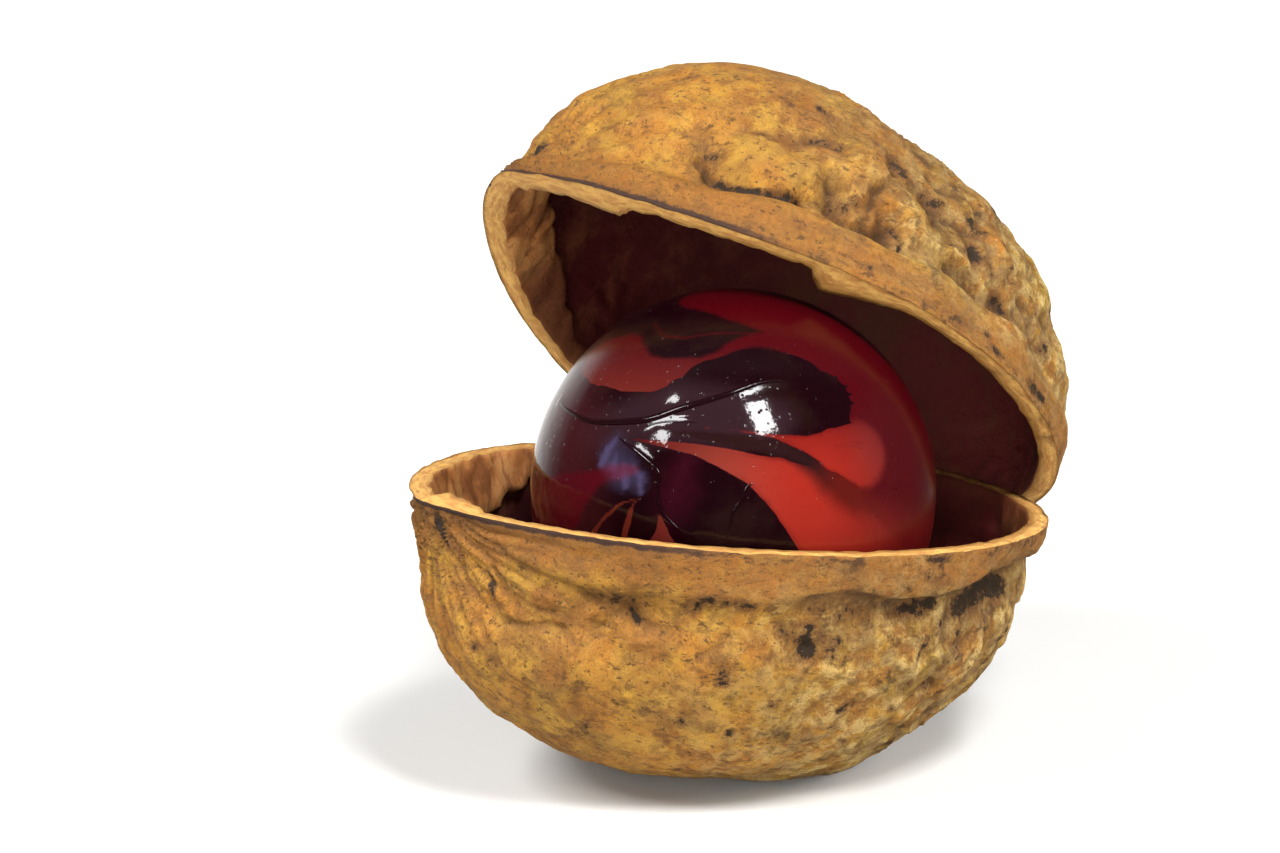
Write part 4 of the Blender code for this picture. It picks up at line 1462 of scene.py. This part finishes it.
def glass_paint():
    paint = Paint("swirled_glass", IOR=1.42, Specular_IOR_Level=0.3)
    place = paint.attribute("marble_place", "Vector")
    right = paint.attribute("to_the_right")
    top = paint.attribute("to_the_top")
    bent = paint.warped(place, 0.35, 2.4)
    ragged = paint.noise(place, 1.2, 6.0, 0.7, 0.4) - 0.5
    cloudy = paint.noise(bent, 0.28, 4.0, 0.55) - 0.5
    threads = paint.noise(paint.stretched(bent, (0.5, 1.6, 1.6)), 0.5, 6.0, 0.7, 1.5) - 0.5
    wisp = cloudy * 2.0 + threads * 1.6

    # The dark glass and its clouds.
    paint.colour = paint.mix(cloudy.step(-0.02, 0.18) * 0.7, NIGHT, OIL)
    # Painted sheen: a purple haze round the two window highlights.
    paint.lay(paint.inside("purple", wisp * 0.4, 1.2, -0.6), PURPLE_SHEEN)
    paint.lay(right.step(-6.5, -10.5), LEFT_NIGHT)
    paint.lay(paint.inside("middle_wine", wisp, 1.2, -1.2) * 0.8, WINE)
    # Painted reflection: a blue window at the left, its lavender streaks, and rose where it lies over the
    # wine.
    blue_reflection = paint.inside("blue_reflection", ragged * 1.2, 0.70, -0.60)
    paint.lay(blue_reflection * 0.8, REFLECTED_BLUE)
    paint.lay(paint.inside("streak", ragged * 0.8, 0.26, -0.22) * 0.75, REFLECTED_LAVENDER)
    left = paint.attribute("left_wine_edge") + wisp * 0.3
    paint.lay(left.step(0.25, -0.30) * (1 - blue_reflection * 0.55), LIT_WINE)
    paint.lay(blue_reflection * left.step(0.35, -0.15) * 0.45, REFLECTED_ROSE)
    paint.lay(paint.inside("splinter", ragged * 0.3, 0.05, -0.07) * 0.85, SPLINTER_RED)
    paint.lay(paint.inside("cap_line", ragged * 0.15, 0.12, -0.06) * 0.55, RED_DEEP)
    night = paint.colour

    # The red glass, bright in its trails, with painted shade towards the top and the right.
    # Painted shade: the red darkens towards the top, under the upper shell, and towards the right edge of
    # the ball.
    lit = top.step(5.6, 0.6) * 0.65 + top.step(9.6, 5.0) * 0.35
    low = top.step(0.5, -2.5)
    lit = lit * right.step(-9.0, 3.0).most(top.step(4.0, 6.0))
    lit = lit * right.step(13.0, 4.5).most(low * 0.25)
    lit = lit * (1 - 0.45 * top.step(3.0, 6.0) * right.step(-7.0, -1.0))
    shade = paint.inside("bright", wisp * 0.25, 0.45, -0.35)
    shade = shade.most(paint.inside("tongue", wisp * 0.25, 0.45, -0.35))
    leaf = (right + wisp * 2.0).step(6.0, -1.0)
    red = paint.mix(right.step(4.0, -3.0), RED, RED_PALE)
    lit = lit * shade.most(leaf).most(threads.step(0.0, 0.3) * 0.3).most(low * 0.8)
    red = paint.mix(lit, RED_DEEP, red)
    red = paint.mix(threads.step(0.10, 0.22) * 0.25, red, RED_DEEP)

    # The trails, each over the last.
    blur = 0.04 + 0.22 * top.step(6.6, 8.6)
    under = (paint.attribute("leaf_edge") + ragged * 0.3) / blur
    paint.lay(under.step(1.0, -1.0), red)
    paint.lay(paint.inside("eye", ragged * 0.25, 0.05, -0.05), night)
    paint.lay(paint.inside("bright", ragged * 0.14, 0.04, -0.04), red)
    finger = (paint.attribute("finger_edge") + ragged * 0.3) / (0.12 + 0.62 * right.step(1.0, 5.5))
    dark = paint.mix(right.step(4.2, 6.2), FINGER_DARK, RED_BROWN)
    paint.lay(finger.step(1.0, -1.0) * right.step(10.5, 6.5), dark)
    paint.lay(paint.inside("tongue", ragged * 0.14, 0.05, -0.05), red)
    thread = paint.attribute("thread")
    paint.lay(thread * 0.8, NIGHT)
    some = paint.part(paint.cells(place, 1.4, "Color"), "X").step(0.84, 0.86)
    dust = paint.cells(place, 1.4).step(0.060, 0.035) * some
    paint.lay(dust * 0.5, DUST)

    # The gloss: clear in front, duller towards the shell, dull on dust and threads.
    smudged = right.step(6.0, 9.5).most(top.step(5.6, 8.0)) * 0.20 + top.step(1.5, -2.5) * 0.05
    rough = 0.04 + 0.04 * (cloudy + 0.5) + smudged + 0.3 * dust.most(thread * 0.15)
    dimples = paint.cells(paint.warped(place, 2.0, 0.3), 2.2).step(0.26, 0.0) * ragged.step(-0.05, 0.1)
    height = paint.noise(place, 0.8, 3.0, 0.5) * 0.5 - dimples * 0.7
    return paint.finish(rough, height, 0.035)


# %% Put the paint on and tie the pieces to the frame
shell_paints = (skin_paint(), break_paint(), lining_paint())
for shell, node in ((lower_shell, "shell_lower"), (upper_shell, "shell_upper")):
    for paint in shell_paints:
        shell.data.materials.append(paint)
    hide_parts(node)
    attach(shell, "root")
marble_mesh.materials.append(glass_paint())
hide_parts("glass_marble")
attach(marble_piece, "root")
print("paints:", [material.name for material in bpy.data.materials])
